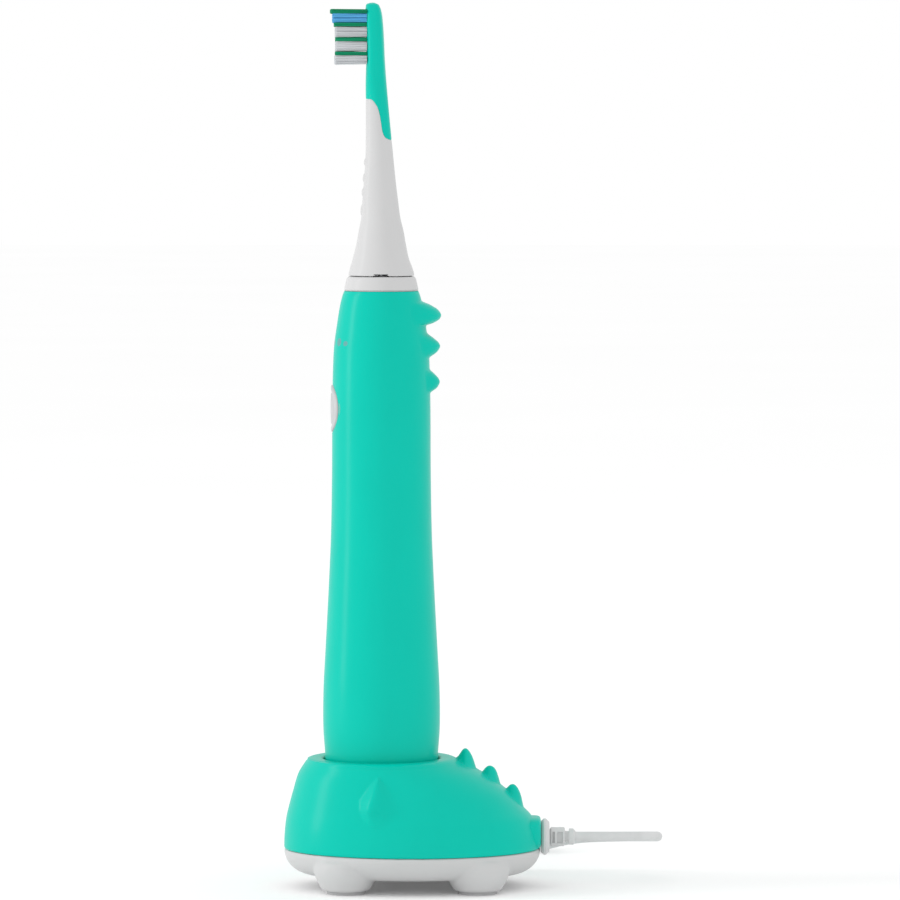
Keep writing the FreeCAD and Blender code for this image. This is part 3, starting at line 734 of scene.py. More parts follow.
def middle_x(node: str) -> float:
    """Middle of a CAD node along X, in millimetres.

    Args:
        node: The node's name.

    Returns:
        The place along X.
    """
    low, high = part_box(node)
    return (low[0] + high[0]) / 2 / MM


# Faces of a six-sided block, from its four near corners and its four far ones.
BLOCK_FACES = ((0, 1, 2, 3), (4, 5, 6, 7), (0, 1, 5, 4), (1, 2, 6, 5), (2, 3, 7, 6), (3, 0, 4, 7))


# ---- handle


@dataclass
class Handle:
    """The grip with its back spikes, collar and button."""

    axis_x: float
    # (height, radius) of the plain grip, of the spikes' outline and of the bore from the top down
    radii: Outline = (
        (23.3, 15.2), (38.2, 15.9), (43.8, 16.3), (48.3, 16.4), (56.7, 16.25), (65.1, 15.8),
        (73.5, 15.35), (81.9, 14.9), (90.3, 14.5), (98.7, 14.15), (115.0, 13.85), (138.0, 13.7),
        (148.8, 13.4), (153.0, 13.1), (157.2, 12.5), (161.4, 11.85), (164.5, 11.25), (166.4, 10.7),
        (167.2, 10.35))
    spikes: Outline = (
        (138.4, 13.66), (139.0, 14.0), (139.6, 14.9), (140.1, 15.5), (140.8, 16.0), (141.8, 16.34),
        (142.8, 16.0), (143.6, 15.3), (144.4, 14.5), (145.1, 13.75), (145.6, 13.55), (148.2, 13.42),
        (148.7, 13.65), (149.6, 14.9), (150.2, 15.6), (150.9, 16.1), (151.8, 16.46), (152.8, 16.02),
        (153.5, 15.3), (154.3, 14.3), (155.2, 13.1), (155.7, 12.75), (157.2, 12.55), (157.7, 12.85),
        (158.2, 14.4), (158.6, 15.2), (159.2, 16.1), (159.8, 16.56), (160.5, 16.74), (161.3, 16.4),
        (162.2, 15.6), (162.9, 14.5), (163.6, 13.2), (164.3, 11.5), (164.7, 11.15))
    bore: Outline = (
        (167.3, 9.9), (167.3, 5.6), (166.8, 5.1), (164.4, 5.1), (164.3, 8.2), (157.0, 8.2),
        (152.0, 11.0), (117.0, 11.0), (112.0, 12.2), (60.0, 12.2), (56.0, 13.6), (23.3, 13.6))
    # (height, half width) of the spikes' roots
    spike_widths: Outline = ((138.0, 5.6), (142.0, 6.0), (151.8, 7.8), (160.5, 9.6), (165.0, 9.0))
    # (side, height, radius) of the printed bubbles, in metres
    bubbles: Table = (
        (-0.0086, 0.1528, 0.0008), (-0.0058, 0.1531, 0.0012), (-0.0022, 0.1528, 0.0009),
        (0.0012, 0.1532, 0.0013), (0.0046, 0.1528, 0.0009), (0.0078, 0.1531, 0.0011))
    # corners of the collar's outer edge, which are rounded
    collar_edge: Outline = ((10.44, 167.4), (9.72, 170.6), (9.3, 171.28), (5.4, 171.28))
    button_z: float = 134.4
    button_radius: float = 6.65
    button_front: float = 14.1
    button_gap: float = 0.3
    columns: int = 288

    def spike_height(self, z: float, plain: float, around: np.ndarray) -> np.ndarray:
        """How far the back spikes stand out of the plain grip at one height.

        Args:
            z: The height.
            plain: The plain grip's radius there.
            around: Distances from the centre plane, along the skin.

        Returns:
            Height over the plain grip.
        """
        if not self.spikes[0][0] < z < self.spikes[-1][0]:
            return np.zeros_like(around)
        at = np.array([z])
        high = max(0.0, float(eased(self.spikes, at, 1)[0]) - plain)
        half = float(eased(self.spike_widths, at, 1)[0])
        return high * np.clip(1 - (around / half) ** 2, 0, None) ** 2

    def build_grip(self) -> bpy.types.Object:
        """The grip shell, hollow, with its button hole.

        Returns:
            The grip.
        """
        low, spiky, top = self.radii[0][0], self.spikes[0][0] - 0.5, self.radii[-1][0]
        heights = np.concatenate([np.linspace(low, spiky, 150, endpoint=False), np.linspace(spiky, top, 190)])
        angle = np.linspace(0, 2 * math.pi, self.columns, endpoint=False)
        rings = []
        for z, r in zip(heights, eased(self.radii, heights, 1)):
            around = r * np.where(angle > math.pi, angle - 2 * math.pi, angle)
            out = r + self.spike_height(float(z), float(r), around)
            level = np.full_like(angle, z)
            rings.append(np.stack([self.axis_x + out * np.cos(angle), out * np.sin(angle), level], axis=1))
        for z, r in self.bore:
            rings.append(oval_ring((self.axis_x, 0.0, z), r, r, 2.0, self.columns))
        grip = sweep_rings("grip_skin", rings, loop=True, crease=50.0)
        hole_radius = self.button_radius + self.button_gap
        hole = self.button_disc("button_hole", hole_radius, 8.0, self.button_front + 3.0, 0.0)
        boolean(grip, hole, "DIFFERENCE")
        shade(grip, 40.0)
        return grip

    def button_disc(self, name: str, radius: float, back: float, front: float,
                    crown: float) -> bpy.types.Object:
        """Disc across the front of the grip.

        Args:
            name: The object's name.
            radius: Its radius.
            back: How far its back lies from the axis.
            front: How far its face lies from the axis.
            crown: 1 for a face that follows the grip, 0 for a flat one.

        Returns:
            The disc.
        """
        angle = np.linspace(0, 2 * math.pi, 96, endpoint=False)
        rings = []
        edge = ((0.0, 0.9), (0.0, 0.55), (0.1, 0.25), (0.3, 0.06), (0.55, 0.0))
        steps = [(radius, back)] + [(radius - inset, front - drop) for inset, drop in edge]
        if crown:
            shares = (0.86, 0.8, 0.74, 0.7, 0.66, 0.6, 0.5, 0.4, 0.3, 0.2, 0.1)
            steps += [(share * radius, front) for share in shares]
        steps.append((0.02, front))
        for r, reach in steps:
            y = r * np.cos(angle)
            z = self.button_z + r * np.sin(angle)
            curve = crown * (self.button_front - np.sqrt(self.button_front**2 - y**2))
            on_face = crown if reach == front else 0.0
            dish = on_face * 0.28 * math.exp(-(((r / radius) - 0.7) / 0.05) ** 2)
            dome = on_face * 0.12 * max(0.0, 1 - (r / radius / 0.62) ** 2)
            x = self.axis_x - reach + curve * (reach > back + 0.1) + dish - dome
            rings.append(np.stack([x, y, z], axis=1))
        return sweep_rings(name, rings, loop=False, crease=40.0)

    def build(self) -> None:
        """Build and hand over all of the handle's visible pieces."""
        green = PrintedPlastic("handle_green", GREEN, 0.33, bubbles=self.bubbles).make()
        finish_piece(self.build_grip(), green, Body.HANDLE, "green_plastic", "handle_shell")
        pale = MouldedPlastic("collar_pale", PALE, 0.4).make()
        outline = [(5.4, 167.32), (10.38, 167.32)] + rounded(self.collar_edge, 0.5, 6)
        collar = turned("collar_ring", outline, self.axis_x, 128)
        finish_piece(collar, pale, Body.HANDLE, "grey_plastic", "handle_collar")
        cap = self.button_disc("button_cap", self.button_radius, 12.3, self.button_front, 1.0)
        soft = SoftJacket("button_soft", (0.5, 0.51, 0.515), 0.5).make()
        finish_piece(cap, soft, Body.BUTTON, "grey_plastic", "power_button")


# ---- brush head


@dataclass
class BrushHead:
    """Neck, green cover and bristles."""

    axis_x: float
    # (height, reach to the front, reach to the back, half width)
    levels: Table = (
        (171.42, 9.05, 9.1, 9.05), (171.65, 9.15, 9.2, 9.15), (173.2, 8.85, 8.85, 8.8),
        (176.2, 8.0, 7.75, 7.8), (179.9, 7.05, 6.95, 6.7), (184.1, 6.3, 6.2, 5.8),
        (187.4, 5.65, 5.4, 5.1), (192.5, 5.3, 4.7, 4.3), (197.5, 4.9, 4.1, 3.7),
        (206.5, 4.35, 3.2, 3.15), (214.9, 4.3, 2.4, 3.1), (220.5, 4.3, 1.9, 3.3),
        (224.5, 4.35, 1.55, 4.0), (228.5, 4.25, 1.25, 4.9), (232.5, 4.1, 1.0, 5.25),
        (237.5, 4.15, 0.8, 5.35), (241.5, 4.3, 0.55, 5.15), (244.6, 4.4, 0.2, 4.5),
        (246.3, 4.3, -0.3, 3.6), (247.2, 4.0, -0.9, 2.6), (247.6, 3.3, -1.6, 1.3))
    # (height, half height) of the small pips down the neck's front
    pips: Outline = ((203.2, 0.95), (198.8, 1.15), (194.9, 1.15), (189.8, 1.45))
    # (distance behind the axis, height) of the green cover's lower edge
    edges: Outline = (
        (-4.6, 220.75), (-3.1, 220.7), (-1.3, 219.0), (-0.6, 217.4), (-0.15, 215.2), (0.25, 212.4),
        (0.9, 210.5), (2.0, 209.6), (3.2, 209.3))
    # (height, distance from the axis) of the bristles' tips
    tips: Outline = (
        (230.0, 13.4), (233.0, 12.98), (236.5, 12.9), (239.0, 12.96), (242.1, 13.4), (244.5, 14.1),
        (246.0, 14.6))
    tufts: int = 6
    tuft_pitch: float = 1.5
    bristle_root: float = 3.9
    bristle_radius: float = 0.105
    bristle_sides: int = 6
    bristles_per_mm: float = 56

    def ring(self, heights: np.ndarray, angle: np.ndarray, inset: float = 0.0) -> np.ndarray:
        """One ring of the outside, whose points may be at different heights.

        Args:
            heights: Height of each point.
            angle: Angle of each point.
            inset: How far it is drawn in.

        Returns:
            The ring's points.
        """
        front = eased(self.levels, heights, 1) - inset
        back = eased(self.levels, heights, 2) - inset
        half = eased(self.levels, heights, 3) - inset
        square = 2.0 + 1.4 * np.clip((heights - 222.0) / 8.0, 0, 1)
        c, s = np.cos(angle), np.sin(angle)
        x = (back - front) / 2 + (back + front) / 2 * np.sign(c) * np.abs(c) ** (2 / square)
        y = half * np.sign(s) * np.abs(s) ** (2 / square)
        for z, high in self.pips:
            bump = np.clip(1 - ((heights - z) / high) ** 2 - (y / 1.5) ** 2, 0, None)
            x = np.where(c < 0, x - 0.36 * np.sqrt(bump), x)
        return np.stack([self.axis_x + x, y, heights], axis=1)

    def edge_heights(self, angle: np.ndarray) -> np.ndarray:
        """Height of the cover's edge at each angle round the neck.

        Args:
            angle: The angles.

        Returns:
            The heights.
        """
        heights = np.full_like(angle, self.edges[len(self.edges) // 2][1])
        for _ in range(60):
            offset = self.ring(heights, angle)[:, 0] - self.axis_x
            heights = heights * 0.6 + eased(self.edges, offset, 1) * 0.4
        return heights

    def build_neck(self, angle: np.ndarray) -> bpy.types.Object:
        """The pale neck from the skirt up to the cover's edge.

        Args:
            angle: Angles round the neck.

        Returns:
            The neck.
        """
        base = self.levels[0][0]
        top = self.edge_heights(angle)
        rings = [oval_ring((self.axis_x, 0.0, z), r, r, 2.0, len(angle))
                 for r, z in ((3.6, 175.0), (7.3, 174.4), (7.4, base), (8.7, base))]
        for share in np.linspace(0.004, 0.992, 210):
            rings.append(self.ring(base + (top - base) * share, angle))
        rings.append(self.ring(top - 0.02, angle, 0.12))
        rings.append(self.ring(top - 0.02, angle, 1.2))
        neck = sweep_rings("neck_skin", rings, loop=False, crease=45.0)
        slit = make_object("skirt_slit", self.slit_points(), BLOCK_FACES)
        boolean(neck, slit, "DIFFERENCE")
        shade(neck, 45.0)
        return neck

    def slit_points(self) -> np.ndarray:
        """Corners of the slit's cutter: a low slot in the skirt's near side.

        Returns:
            The eight corners.
        """
        low, high = self.levels[0][0] - 0.5, self.levels[0][0] + 0.62
        wide, narrow = 2.4, 1.95
        return np.array([(self.axis_x + x, y, z) for y in (-14.0, -1.0)
                         for x, z in ((-wide, low), (wide, low), (narrow, high), (-narrow, high))])

    def build_cover(self, angle: np.ndarray) -> bpy.types.Object:
        """The green cover from its edge over the tip of the head.

        Args:
            angle: Angles round the head.

        Returns:
            The cover.
        """
        low = self.edge_heights(angle)
        top = self.levels[-1][0]
        rings = [self.ring(low + 0.02, angle, 1.2), self.ring(low + 0.02, angle, 0.08)]
        for share in np.linspace(0.006, 0.985, 150) ** 0.9:
            rings.append(self.ring(low + (top - low) * share, angle))
        rings.append(self.ring(np.full_like(angle, top - 0.1), angle, 0.3))
        rings.append(self.ring(np.full_like(angle, top), angle, 0.9))
        return sweep_rings("head_cover", rings, loop=False, crease=50.0)

    def bristle(self, y_row: float, z_row: float, thick: float, chance: random.Random) -> list[Point]:
        """Points of one bristle, ring by ring from its root to its rounded tip.

        Args:
            y_row: Where its tuft stands across the head.
            z_row: Where its tuft stands up the head.
            thick: The tuft's thickness.
            chance: Where its small differences come from.

        Returns:
            The points.
        """
        swing = chance.uniform(0, 2 * math.pi)
        spread = math.sqrt(chance.random())
        y0 = y_row + math.cos(swing) * spread * 0.6
        z0 = z_row + math.sin(swing) * spread * thick * 0.47
        y1 = y0 + (y0 - y_row) * 0.35 + chance.uniform(-0.07, 0.07)
        z1 = z0 + (z0 - z_row) * 0.12 + chance.uniform(-0.05, 0.05)
        reach = float(eased(self.tips, np.array([z_row]), 1)[0])
        tip = reach - 0.28 * chance.random() - 0.02 * y_row * y_row
        points: list[Point] = []
        for out, y, z, share in ((self.bristle_root, y0, z0, 1.0), (tip - 0.25, y1, z1, 1.0),
                                 (tip - 0.05, y1, z1, 0.72), (tip, y1, z1, 0.3)):
            for k in range(self.bristle_sides):
                turn = 2 * math.pi * k / self.bristle_sides
                points.append((self.axis_x - out, y + math.cos(turn) * self.bristle_radius * share,
                               z + math.sin(turn) * self.bristle_radius * share))
        return points

    def build_tufts(self, name: str, rows: Sequence[tuple[float, float]]) -> bpy.types.Object:
        """One colour of bristles, as separate filaments.

        Args:
            name: The object's name.
            rows: (height of the row, thickness of the row).

        Returns:
            The filaments in one object.
        """
        chance = random.Random(name)
        points: list[Point] = []
        faces: list[Sequence[int]] = []
        sides = self.bristle_sides
        for z_row, thick in rows:
            for index in range(self.tufts):
                y_row = (index - (self.tufts - 1) / 2) * self.tuft_pitch
                for _ in range(int(self.bristles_per_mm * thick)):
                    start = len(points)
                    points += self.bristle(y_row, z_row, thick, chance)
                    for a in range(start, len(points) - sides, sides):
                        for k in range(sides):
                            n = (k + 1) % sides
                            faces.append((a + k, a + n, a + sides + n, a + sides + k))
                    faces.append(tuple(range(start, start + sides)))
                    faces.append(tuple(range(len(points) - sides, len(points))))
        return make_object(name, np.array(points), faces, 80.0)

    def build(self) -> None:
        """Build and hand over the head's visible pieces."""
        angle = np.linspace(0, 2 * math.pi, 240, endpoint=False)
        pale = MouldedPlastic("neck_pale", PALE, 0.38).make()
        green = MouldedPlastic("head_green", GREEN, 0.34).make()
        finish_piece(self.build_neck(angle), pale, Body.HEAD, "grey_plastic", "brush_neck")
        finish_piece(self.build_cover(angle), green, Body.HEAD, "green_plastic", "brush_head_cover")
        rows = {
            "tufts_green": ([(245.1, 1.05), (241.43, 1.0), (237.3, 1.05), (233.4, 0.95)],
                            (0.0, 0.26, 0.12)),
            "tufts_blue": ([(243.27, 2.45)], (0.095, 0.38, 0.68)),
            "tufts_white": ([(239.37, 2.8), (235.4, 2.65), (231.65, 2.4)], (0.58, 0.6, 0.62)),
        }
        root, tip = (self.axis_x - 4.0) * MM, (self.axis_x - 13.5) * MM
        for node, (places, colour) in rows.items():
            slot = node.replace("tufts", "bristle")
            nylon = Filament(slot + "_nylon", colour, root, tip).make()
            finish_piece(self.build_tufts(node + "_filaments", places), nylon, Body.HEAD, slot, node)


# ---- charger


@dataclass
class Charger:
    """The round-backed charger: shell with cup, tray with feet, spikes, thorns."""

    axis_x: float
    # (height, centre along X, half length, half width) of the plain shell
    levels: Table = (
        (11.0, 0.0, 35.95, 27.9), (14.0, -0.15, 35.75, 27.85), (19.8, -0.85, 34.45, 27.3),
        (22.4, -1.75, 32.95, 26.6), (27.6, -3.55, 29.75, 25.0), (32.3, -6.15, 25.65, 22.9),
        (35.2, -8.0, 22.0, 21.2))
    # (place along X, height) of the back fins' outline
    ridge: Outline = (
        (12.2, 36.4), (12.77, 36.74), (13.6, 37.9), (14.3, 38.65), (14.92, 38.89), (15.7, 38.45),
        (16.58, 37.18), (17.2, 35.75), (17.6, 34.5), (17.92, 33.5), (18.6, 32.85), (19.49, 32.35),
        (19.8, 32.57), (20.5, 33.4), (21.2, 33.93), (21.82, 34.05), (22.6, 33.8), (23.3, 33.15),
        (23.8, 32.2), (24.19, 31.0), (24.86, 28.8), (25.6, 28.1), (26.43, 27.69), (26.9, 28.1),
        (27.5, 28.6), (28.22, 28.76), (28.9, 28.5), (29.57, 27.78), (30.2, 26.6), (30.69, 25.1),
        (31.0, 23.6), (31.3, 22.4), (33.0, 19.9))
    # (height, left edge, crest, right edge, height of the crest) of a flank thorn
    thorn: Table = (
        (19.2, -11.0, -10.0, -8.0, 0.0), (20.4, -12.6, -11.0, -5.6, 0.5),
        (22.4, -13.8, -12.0, -3.9, 1.25), (24.2, -14.5, -12.0, -3.5, 2.2),
        (26.4, -14.6, -11.5, -3.9, 2.5), (28.4, -13.4, -10.8, -4.9, 2.1),
        (30.4, -12.0, -10.1, -6.4, 1.5), (32.2, -10.5, -9.5, -8.0, 0.8), (33.5, -9.5, -9.3, -9.1, 0.0))
    # (radius, height) of the shoulder, the cup and the post, from the outside in
    cup: Outline = (
        (21.2, 35.75), (20.75, 36.15), (20.2, 36.36), (19.4, 36.4), (17.2, 36.4), (16.75, 36.32),
        (16.5, 36.1), (16.4, 35.8), (16.4, 22.0), (15.6, 21.1), (14.5, 21.0), (5.2, 21.0), (4.7, 21.3),
        (4.6, 22.0), (4.6, 32.2), (4.35, 32.75), (3.8, 33.0), (0.05, 33.0))
    # (place along X, draft, half width) of the block at the tail
    tail: Table = (
        (24.0, 0.0, 11.0), (30.0, 0.0, 9.8), (33.0, 0.0, 8.6), (34.4, 0.0, 7.9), (35.2, 0.05, 7.3),
        (35.7, 0.2, 6.7), (35.98, 0.5, 6.0), (36.08, 0.9, 5.4))
    tail_z: float = 15.36
    tail_half: float = 4.33
    # (radius, height) of a foot
    foot: Outline = (
        (2.0, 0.9), (6.2, 0.9), (6.75, 1.2), (7.2, 1.9), (8.0, 3.4), (8.6, 4.8), (8.9, 6.4),
        (8.8, 8.0), (8.0, 9.4), (5.0, 9.8))
    shoulder_x: float = -8.25
    foot_x: float = 18.3
    foot_y: float = 16.0

    def fin_rise(self, ring: np.ndarray) -> np.ndarray:
        """How far the back fins lift each point of a level ring.

        Args:
            ring: The ring's points.

        Returns:
            The lift of each point.
        """
        x, y = ring[:, 0], ring[:, 1]
        plain = [self.ridge[0]] + [(level[1] + level[2], level[0]) for level in self.levels[::-1]]
        high = np.clip(eased(self.ridge, x, 1) - eased(plain, x, 1), 0, None)
        high = np.where((x > self.ridge[0][0]) & (x < self.ridge[-1][0]), high, 0.0)
        half = 1.0 + 0.95 * high
        return high * np.clip(1 - (y / half) ** 2, 0, None) ** 2

    def thorn_rise(self, z: float, x: np.ndarray) -> np.ndarray:
        """How far a flank thorn stands out at one height.

        Args:
            z: The height.
            x: Places along X.

        Returns:
            Height over the plain flank.
        """
        if not self.thorn[0][0] < z < self.thorn[-1][0]:
            return np.zeros_like(x)
        at = np.array([z])
        left, crest, right, high = (float(eased(self.thorn, at, column)[0]) for column in (1, 2, 3, 4))
        rising = np.clip((x - left) / (crest - left), 0, 1)
        falling = np.clip((right - x) / (right - crest), 0, 1)
        return high * np.minimum(rising, falling * falling * (3 - 2 * falling))

    def build_shell(self) -> bpy.types.Object:
        """The shell with its fins, thorns, cup and post, joined with its tail block.

        Returns:
            The shell.
        """
        count = 440
        turn = np.linspace(0, 2 * math.pi, count, endpoint=False)
        angle = turn - 0.62 * np.sin(turn)
        _, _, half_x, half_y = self.levels[0]
        rings = [self.level_ring(0.0, 18.6, 0.05, 0.05, angle), self.level_ring(0.0, 18.6, 32.4, 25.2, angle)]
        for inset, z in ((2.0, 11.0), (0.5, 11.0), (0.15, 11.1), (0.0, 11.4)):
            rings.append(self.level_ring(0.0, z, half_x - inset, half_y - inset, angle))
        for z in np.linspace(12.0, 35.2, 150):
            at = np.array([z])
            x, long, wide = (float(eased(self.levels, at, column)[0]) for column in (1, 2, 3))
            ring = self.level_ring(x, z, long, wide, angle)
            ring[:, 1] += np.sign(ring[:, 1]) * self.thorn_rise(float(z), ring[:, 0])
            ring[:, 2] += self.fin_rise(ring)
            rings.append(ring)
        for r, z in self.cup:
            ring = self.level_ring(self.shoulder_x if r > 21 else self.axis_x, z, r, r, angle)
            if r > 19.5:
                ring[:, 2] += self.fin_rise(ring)
            rings.append(ring)
        shell = sweep_rings("shell_skin", rings, loop=False, crease=45.0)
        boolean(shell, self.tail_form(), "UNION")
        shade(shell, 40.0)
        return shell

    def level_ring(self, x: float, z: float, half_x: float, half_y: float,
                   angle: np.ndarray) -> np.ndarray:
        """Level ellipse at given angles.

        Args:
            x: Its centre along X.
            z: Its height.
            half_x: Half length along X.
            half_y: Half length along Y.
            angle: Angle of each point.

        Returns:
            The ring's points.
        """
        points = [x + half_x * np.cos(angle), half_y * np.sin(angle), np.full_like(angle, z)]
        return np.stack(points, axis=1)

    def tail_form(self) -> bpy.types.Object:
        """The rounded block at the tail that the lead leaves by.

        Returns:
            The block.
        """
        rings = []
        for x, inset, half in self.tail:
            ring = oval_ring((0.0, 0.0, 0.0), self.tail_half - inset, half, 3.6, 64)
            points = [np.full(len(ring), x), ring[:, 1], self.tail_z + ring[:, 0]]
            rings.append(np.stack(points, axis=1))
        return sweep_rings("tail_block", rings, crease=50.0)

    def build_tray(self) -> bpy.types.Object:
        """The tray bowl with its four feet melted into it.

        Returns:
            The tray.
        """
        count = 160
        half_x, half_y = 36.0, 28.0
        rings = [oval_ring((0.0, 0.0, 4.0), half_x - inset, half_y - inset, 2.0, count)
                 for inset in (27.0, 14.0, 7.0)]
        steps = 9
        for step in range(1, steps + 1):
            turn = math.radians(90 * step / steps)
            inset = 7 * (1 - math.sin(turn))
            z = 4 + 6.7 * (1 - math.cos(turn))
            rings.append(oval_ring((0.0, 0.0, z), 35.95 - inset, 27.9 - inset, 2.0, count))
        rings.append(oval_ring((0.0, 0.0, 10.95), 35.75, 27.7, 2.0, count))
        for inset, z in ((2.2, 10.95), (2.6, 9.0), (6.0, 6.4), (27.0, 6.0)):
            rings.append(oval_ring((0.0, 0.0, z), half_x - inset, half_y - inset, 2.0, count))
        pieces = [sweep_rings("tray_skin", rings)]
        for sign_x in (-1, 1):
            for sign_y in (-1, 1):
                place = (sign_x * self.foot_x, sign_y * self.foot_y)
                foot = [oval_ring((*place, z), r, r, 2.0, 64) for r, z in self.foot]
                pieces.append(sweep_rings("foot", foot))
        tray = join(pieces)
        melt(tray, 0.42, 7)
        return tray

    def build(self) -> None:
        """Build and hand over the charger's visible pieces."""
        green = MouldedPlastic("charger_green", GREEN, 0.36).make()
        pale = MouldedPlastic("tray_pale", tint(PALE, 0.98), 0.42).make()
        finish_piece(self.build_shell(), green, Body.CHARGER, "green_plastic", "charger_shell")
        finish_piece(self.build_tray(), pale, Body.CHARGER, "grey_plastic", "charger_tray")


# ---- lead


@dataclass
class Lead:
    """The charger's lead, put away in a flat coil behind it."""

    radius: float = 1.4
    lead: tuple[Point, ...] = (
        (45.8, 0.0, 14.0), (59.5, 0.0, 14.0), (69.4, 9.0, 13.0), (69.4, 22.5, 11.3),
        (59.0, 31.5, 10.3), (42.0, 33.5, 9.4), (22.0, 35.2, 1.45), (6.0, 35.0, 1.42))
    tail: tuple[Point, ...] = (
        (-23.2, 60.5, 4.2), (-23.2, 72.0, 3.9), (-15.5, 80.5, 3.75), (-5.0, 80.5, 3.75))
    middle: tuple[float, float] = (-4.0, 54.0)
    inner: float = 9.4
    outer: float = 20.6
    turns: float = 8.25
    per_turn: int = 16
    columns: int = 4
    low: float = 1.42
    climb: float = 2.8

    def coil_points(self) -> list[Point]:
        """Turns of the coil: in along the floor, then out again on top, clockwise from the near side.

        Returns:
            The points of the turns.
        """
        first = self.outer - self.radius
        last = self.inner + self.radius
        points = []
        for step in range(1, round(self.turns * self.per_turn)):
            turn = step / self.per_turn
            past = turn - self.columns
            share = turn / self.columns if past < 0 else 1 - past / (self.turns - self.columns)
            radius = first + (last - first) * share
            height = self.low + self.climb * min(1.0, max(0.0, past + 0.5))
            angle = -math.pi / 2 - 2 * math.pi * turn
            points.append((self.middle[0] + radius * math.cos(angle),
                           self.middle[1] + radius * math.sin(angle), height))
        return points

    def build(self) -> None:
        route = list(self.lead) + self.coil_points() + list(self.tail)
        curve = bpy.data.curves.new("charger_lead", "CURVE")
        curve.dimensions = "3D"
        spline = curve.splines.new("NURBS")
        spline.points.add(len(route) - 1)
        for point, place in zip(spline.points, route):
            point.co = (*(part * MM for part in place), 1.0)
        spline.order_u = 3
        spline.use_endpoint_u = True
        spline.resolution_u = 6
        curve.bevel_depth = self.radius * MM
        curve.bevel_resolution = 6
        curve.use_fill_caps = True
        lead = bpy.data.objects.new("charger_lead", curve)
        bpy.context.scene.collection.objects.link(lead)
        jacket = SoftJacket("lead_jacket", (0.64, 0.65, 0.65)).make()
        finish_piece(lead, jacket, Body.CHARGER, "cord_jacket", "cord_lead", "cord_coil", "cord_tail")

    def length(self) -> float:
        """The lead's real length in metres: the open runs and the turns of the coil.

        Returns:
            The length.
        """
        middle_radius = (self.inner + self.outer) / 2
        open_runs = sum(math.dist(a, b) for run in (self.lead, self.tail) for a, b in zip(run, run[1:]))
        return (open_runs + self.turns * 2 * math.pi * middle_radius) * MM


# ---- carried-over pieces


class SlotFinish(Enum):
    """Finishes of the frame's own nodes, by the record's material slot."""

    grey_plastic = MouldedPlastic("cad_grey", PALE, 0.42)
    green_plastic = MouldedPlastic("cad_green", GREEN, 0.36)
    cord_jacket = SoftJacket("cad_jacket", (0.62, 0.63, 0.63))
    pad_rubber = SoftJacket("cad_rubber", (0.46, 0.46, 0.465), 0.65)
    steel = Metal("cad_steel", (0.62, 0.63, 0.65))
    circuit_board = Board("cad_board", (0.01, 0.12, 0.05))
    chip_black = MouldedPlastic("cad_chip", (0.02, 0.02, 0.022), 0.5)
    copper = Winding("cad_copper", (0.72, 0.33, 0.14))
    dark_ferrite = SoftJacket("cad_ferrite", (0.05, 0.05, 0.055), 0.6)
    natural_nylon = MouldedPlastic("cad_nylon", (0.75, 0.72, 0.62), 0.45)
    clear_lens = MouldedPlastic("cad_lens", (0.5, 0.56, 0.56), 0.15)
    cell_sleeve = MouldedPlastic("cad_sleeve", (0.05, 0.14, 0.4), 0.25)
    bristle_green = MouldedPlastic("cad_bristle_green", (0.005, 0.26, 0.14), 0.4)
    bristle_blue = MouldedPlastic("cad_bristle_blue", (0.07, 0.27, 0.55), 0.4)
    bristle_white = MouldedPlastic("cad_bristle_white", (0.7, 0.7, 0.7), 0.4)


def dress_frame() -> None:
    """Give every node of the frame its procedural finish."""
    made: dict[str, bpy.types.Material] = {}
    for part in frame["record"]["subparts"]:
        slot = part["material_slot"]
        if slot not in made:
            made[slot] = SlotFinish[slot].value.make()
        node = frame["nodes"][part["node"]]
        for socket in node.material_slots:
            socket.link = "OBJECT"
            socket.material = made[slot]
    log.info("dressed %d slots", len(made))


# ---- studio


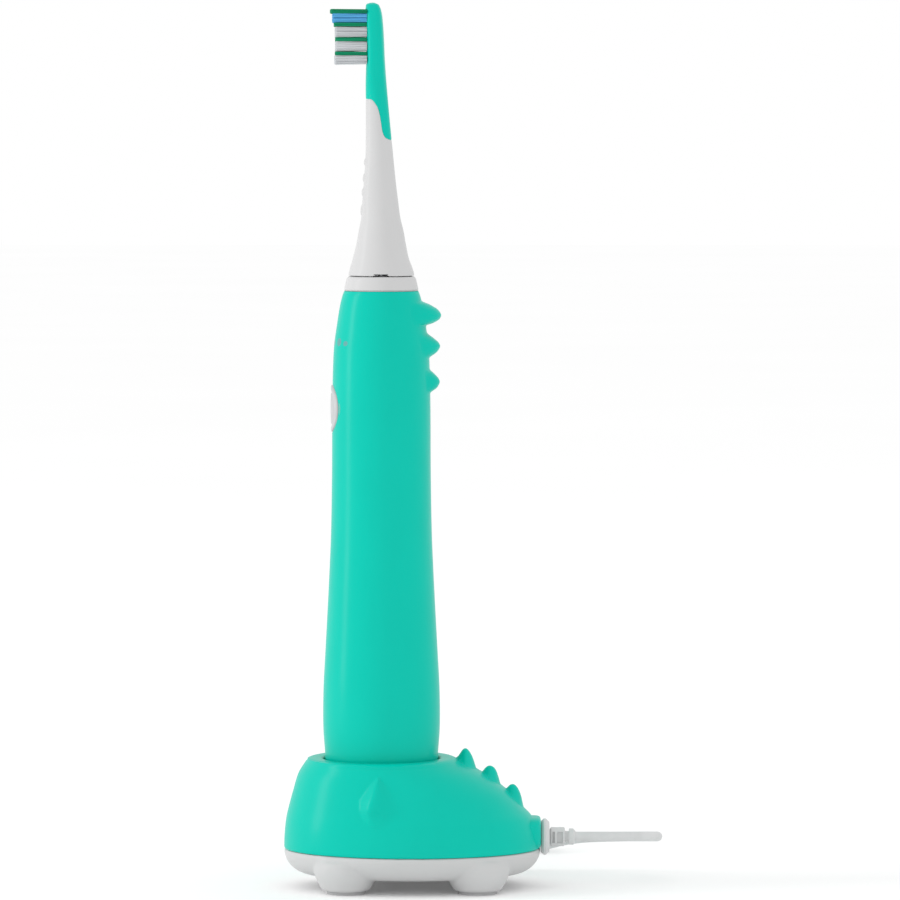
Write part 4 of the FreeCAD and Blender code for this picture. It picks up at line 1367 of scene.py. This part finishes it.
@dataclass
class Studio:
    """Pale floor, soft light and the camera."""

    aim: Point = (0.0106, 0.0, 0.1227)
    distance: float = 1.68
    height: float = 0.2137
    lens: float = 240.5

    def lamp(self, name: str, place: Point, size: tuple[float, float], power: float) -> None:
        """Rectangular soft light aimed at the object.

        Args:
            name: Its name.
            place: Where it stands, in metres.
            size: Its width and height.
            power: Watts.
        """
        light = bpy.data.lights.new(name, "AREA")
        light.shape = "RECTANGLE"
        light.size, light.size_y = size
        light.energy = power
        lamp = bpy.data.objects.new(name, light)
        lamp.location = place
        lamp.rotation_euler = (Vector(self.aim) - Vector(place)).to_track_quat("-Z", "Y").to_euler()
        bpy.context.scene.collection.objects.link(lamp)

    def build(self) -> None:
        """Set up camera, floor, world and lights."""
        scene = bpy.context.scene
        camera = bpy.data.cameras.new("camera")
        camera.lens = self.lens
        camera.sensor_width = 36.0
        camera.clip_end = 50.0
        eye = bpy.data.objects.new("camera", camera)
        eye.location = (self.aim[0], -self.distance, self.height)
        eye.rotation_euler = (Vector(self.aim) - eye.location).to_track_quat("-Z", "Y").to_euler()
        scene.collection.objects.link(eye)
        scene.camera = eye
        half = 9000
        corners = np.array([(-half, -half, 0), (half, -half, 0), (half, half, 0), (-half, half, 0)])
        floor = make_object("floor", corners, [(0, 1, 2, 3)])
        shader = Shader("floor_white")
        cloud = shader.noise(shader.place(), 3.0, 2.0)
        shader.feed(Base_Color=shader.mix(cloud, (0.93, 0.93, 0.93), (0.95, 0.95, 0.95)), Roughness=0.9)
        shader.feed(Emission_Color=(1.0, 1.0, 1.0), Emission_Strength=0.05, Specular_IOR_Level=0.0)
        floor.data.materials.append(shader.material)
        world = bpy.data.worlds.new("studio")
        world.use_nodes = True
        background = world.node_tree.nodes["Background"]
        background.inputs[0].default_value = (1.0, 1.0, 1.0, 1.0)
        background.inputs[1].default_value = 1.0
        scene.world = world
        scene.view_settings.view_transform = "Standard"
        self.lamp("key", (-1.35, -0.16, 0.55), (0.3, 1.1), 6.0)


def main() -> None:
    """Build every sub-assembly in order."""
    logging.basicConfig(level=logging.INFO, format="%(message)s")
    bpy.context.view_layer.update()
    axis_x = middle_x("drive_shaft")
    Studio().build()
    Lead().build()
    dress_frame()
    Handle(axis_x).build()
    BrushHead(axis_x).build()
    Charger(axis_x).build()


if __name__ == "__main__":
    main()
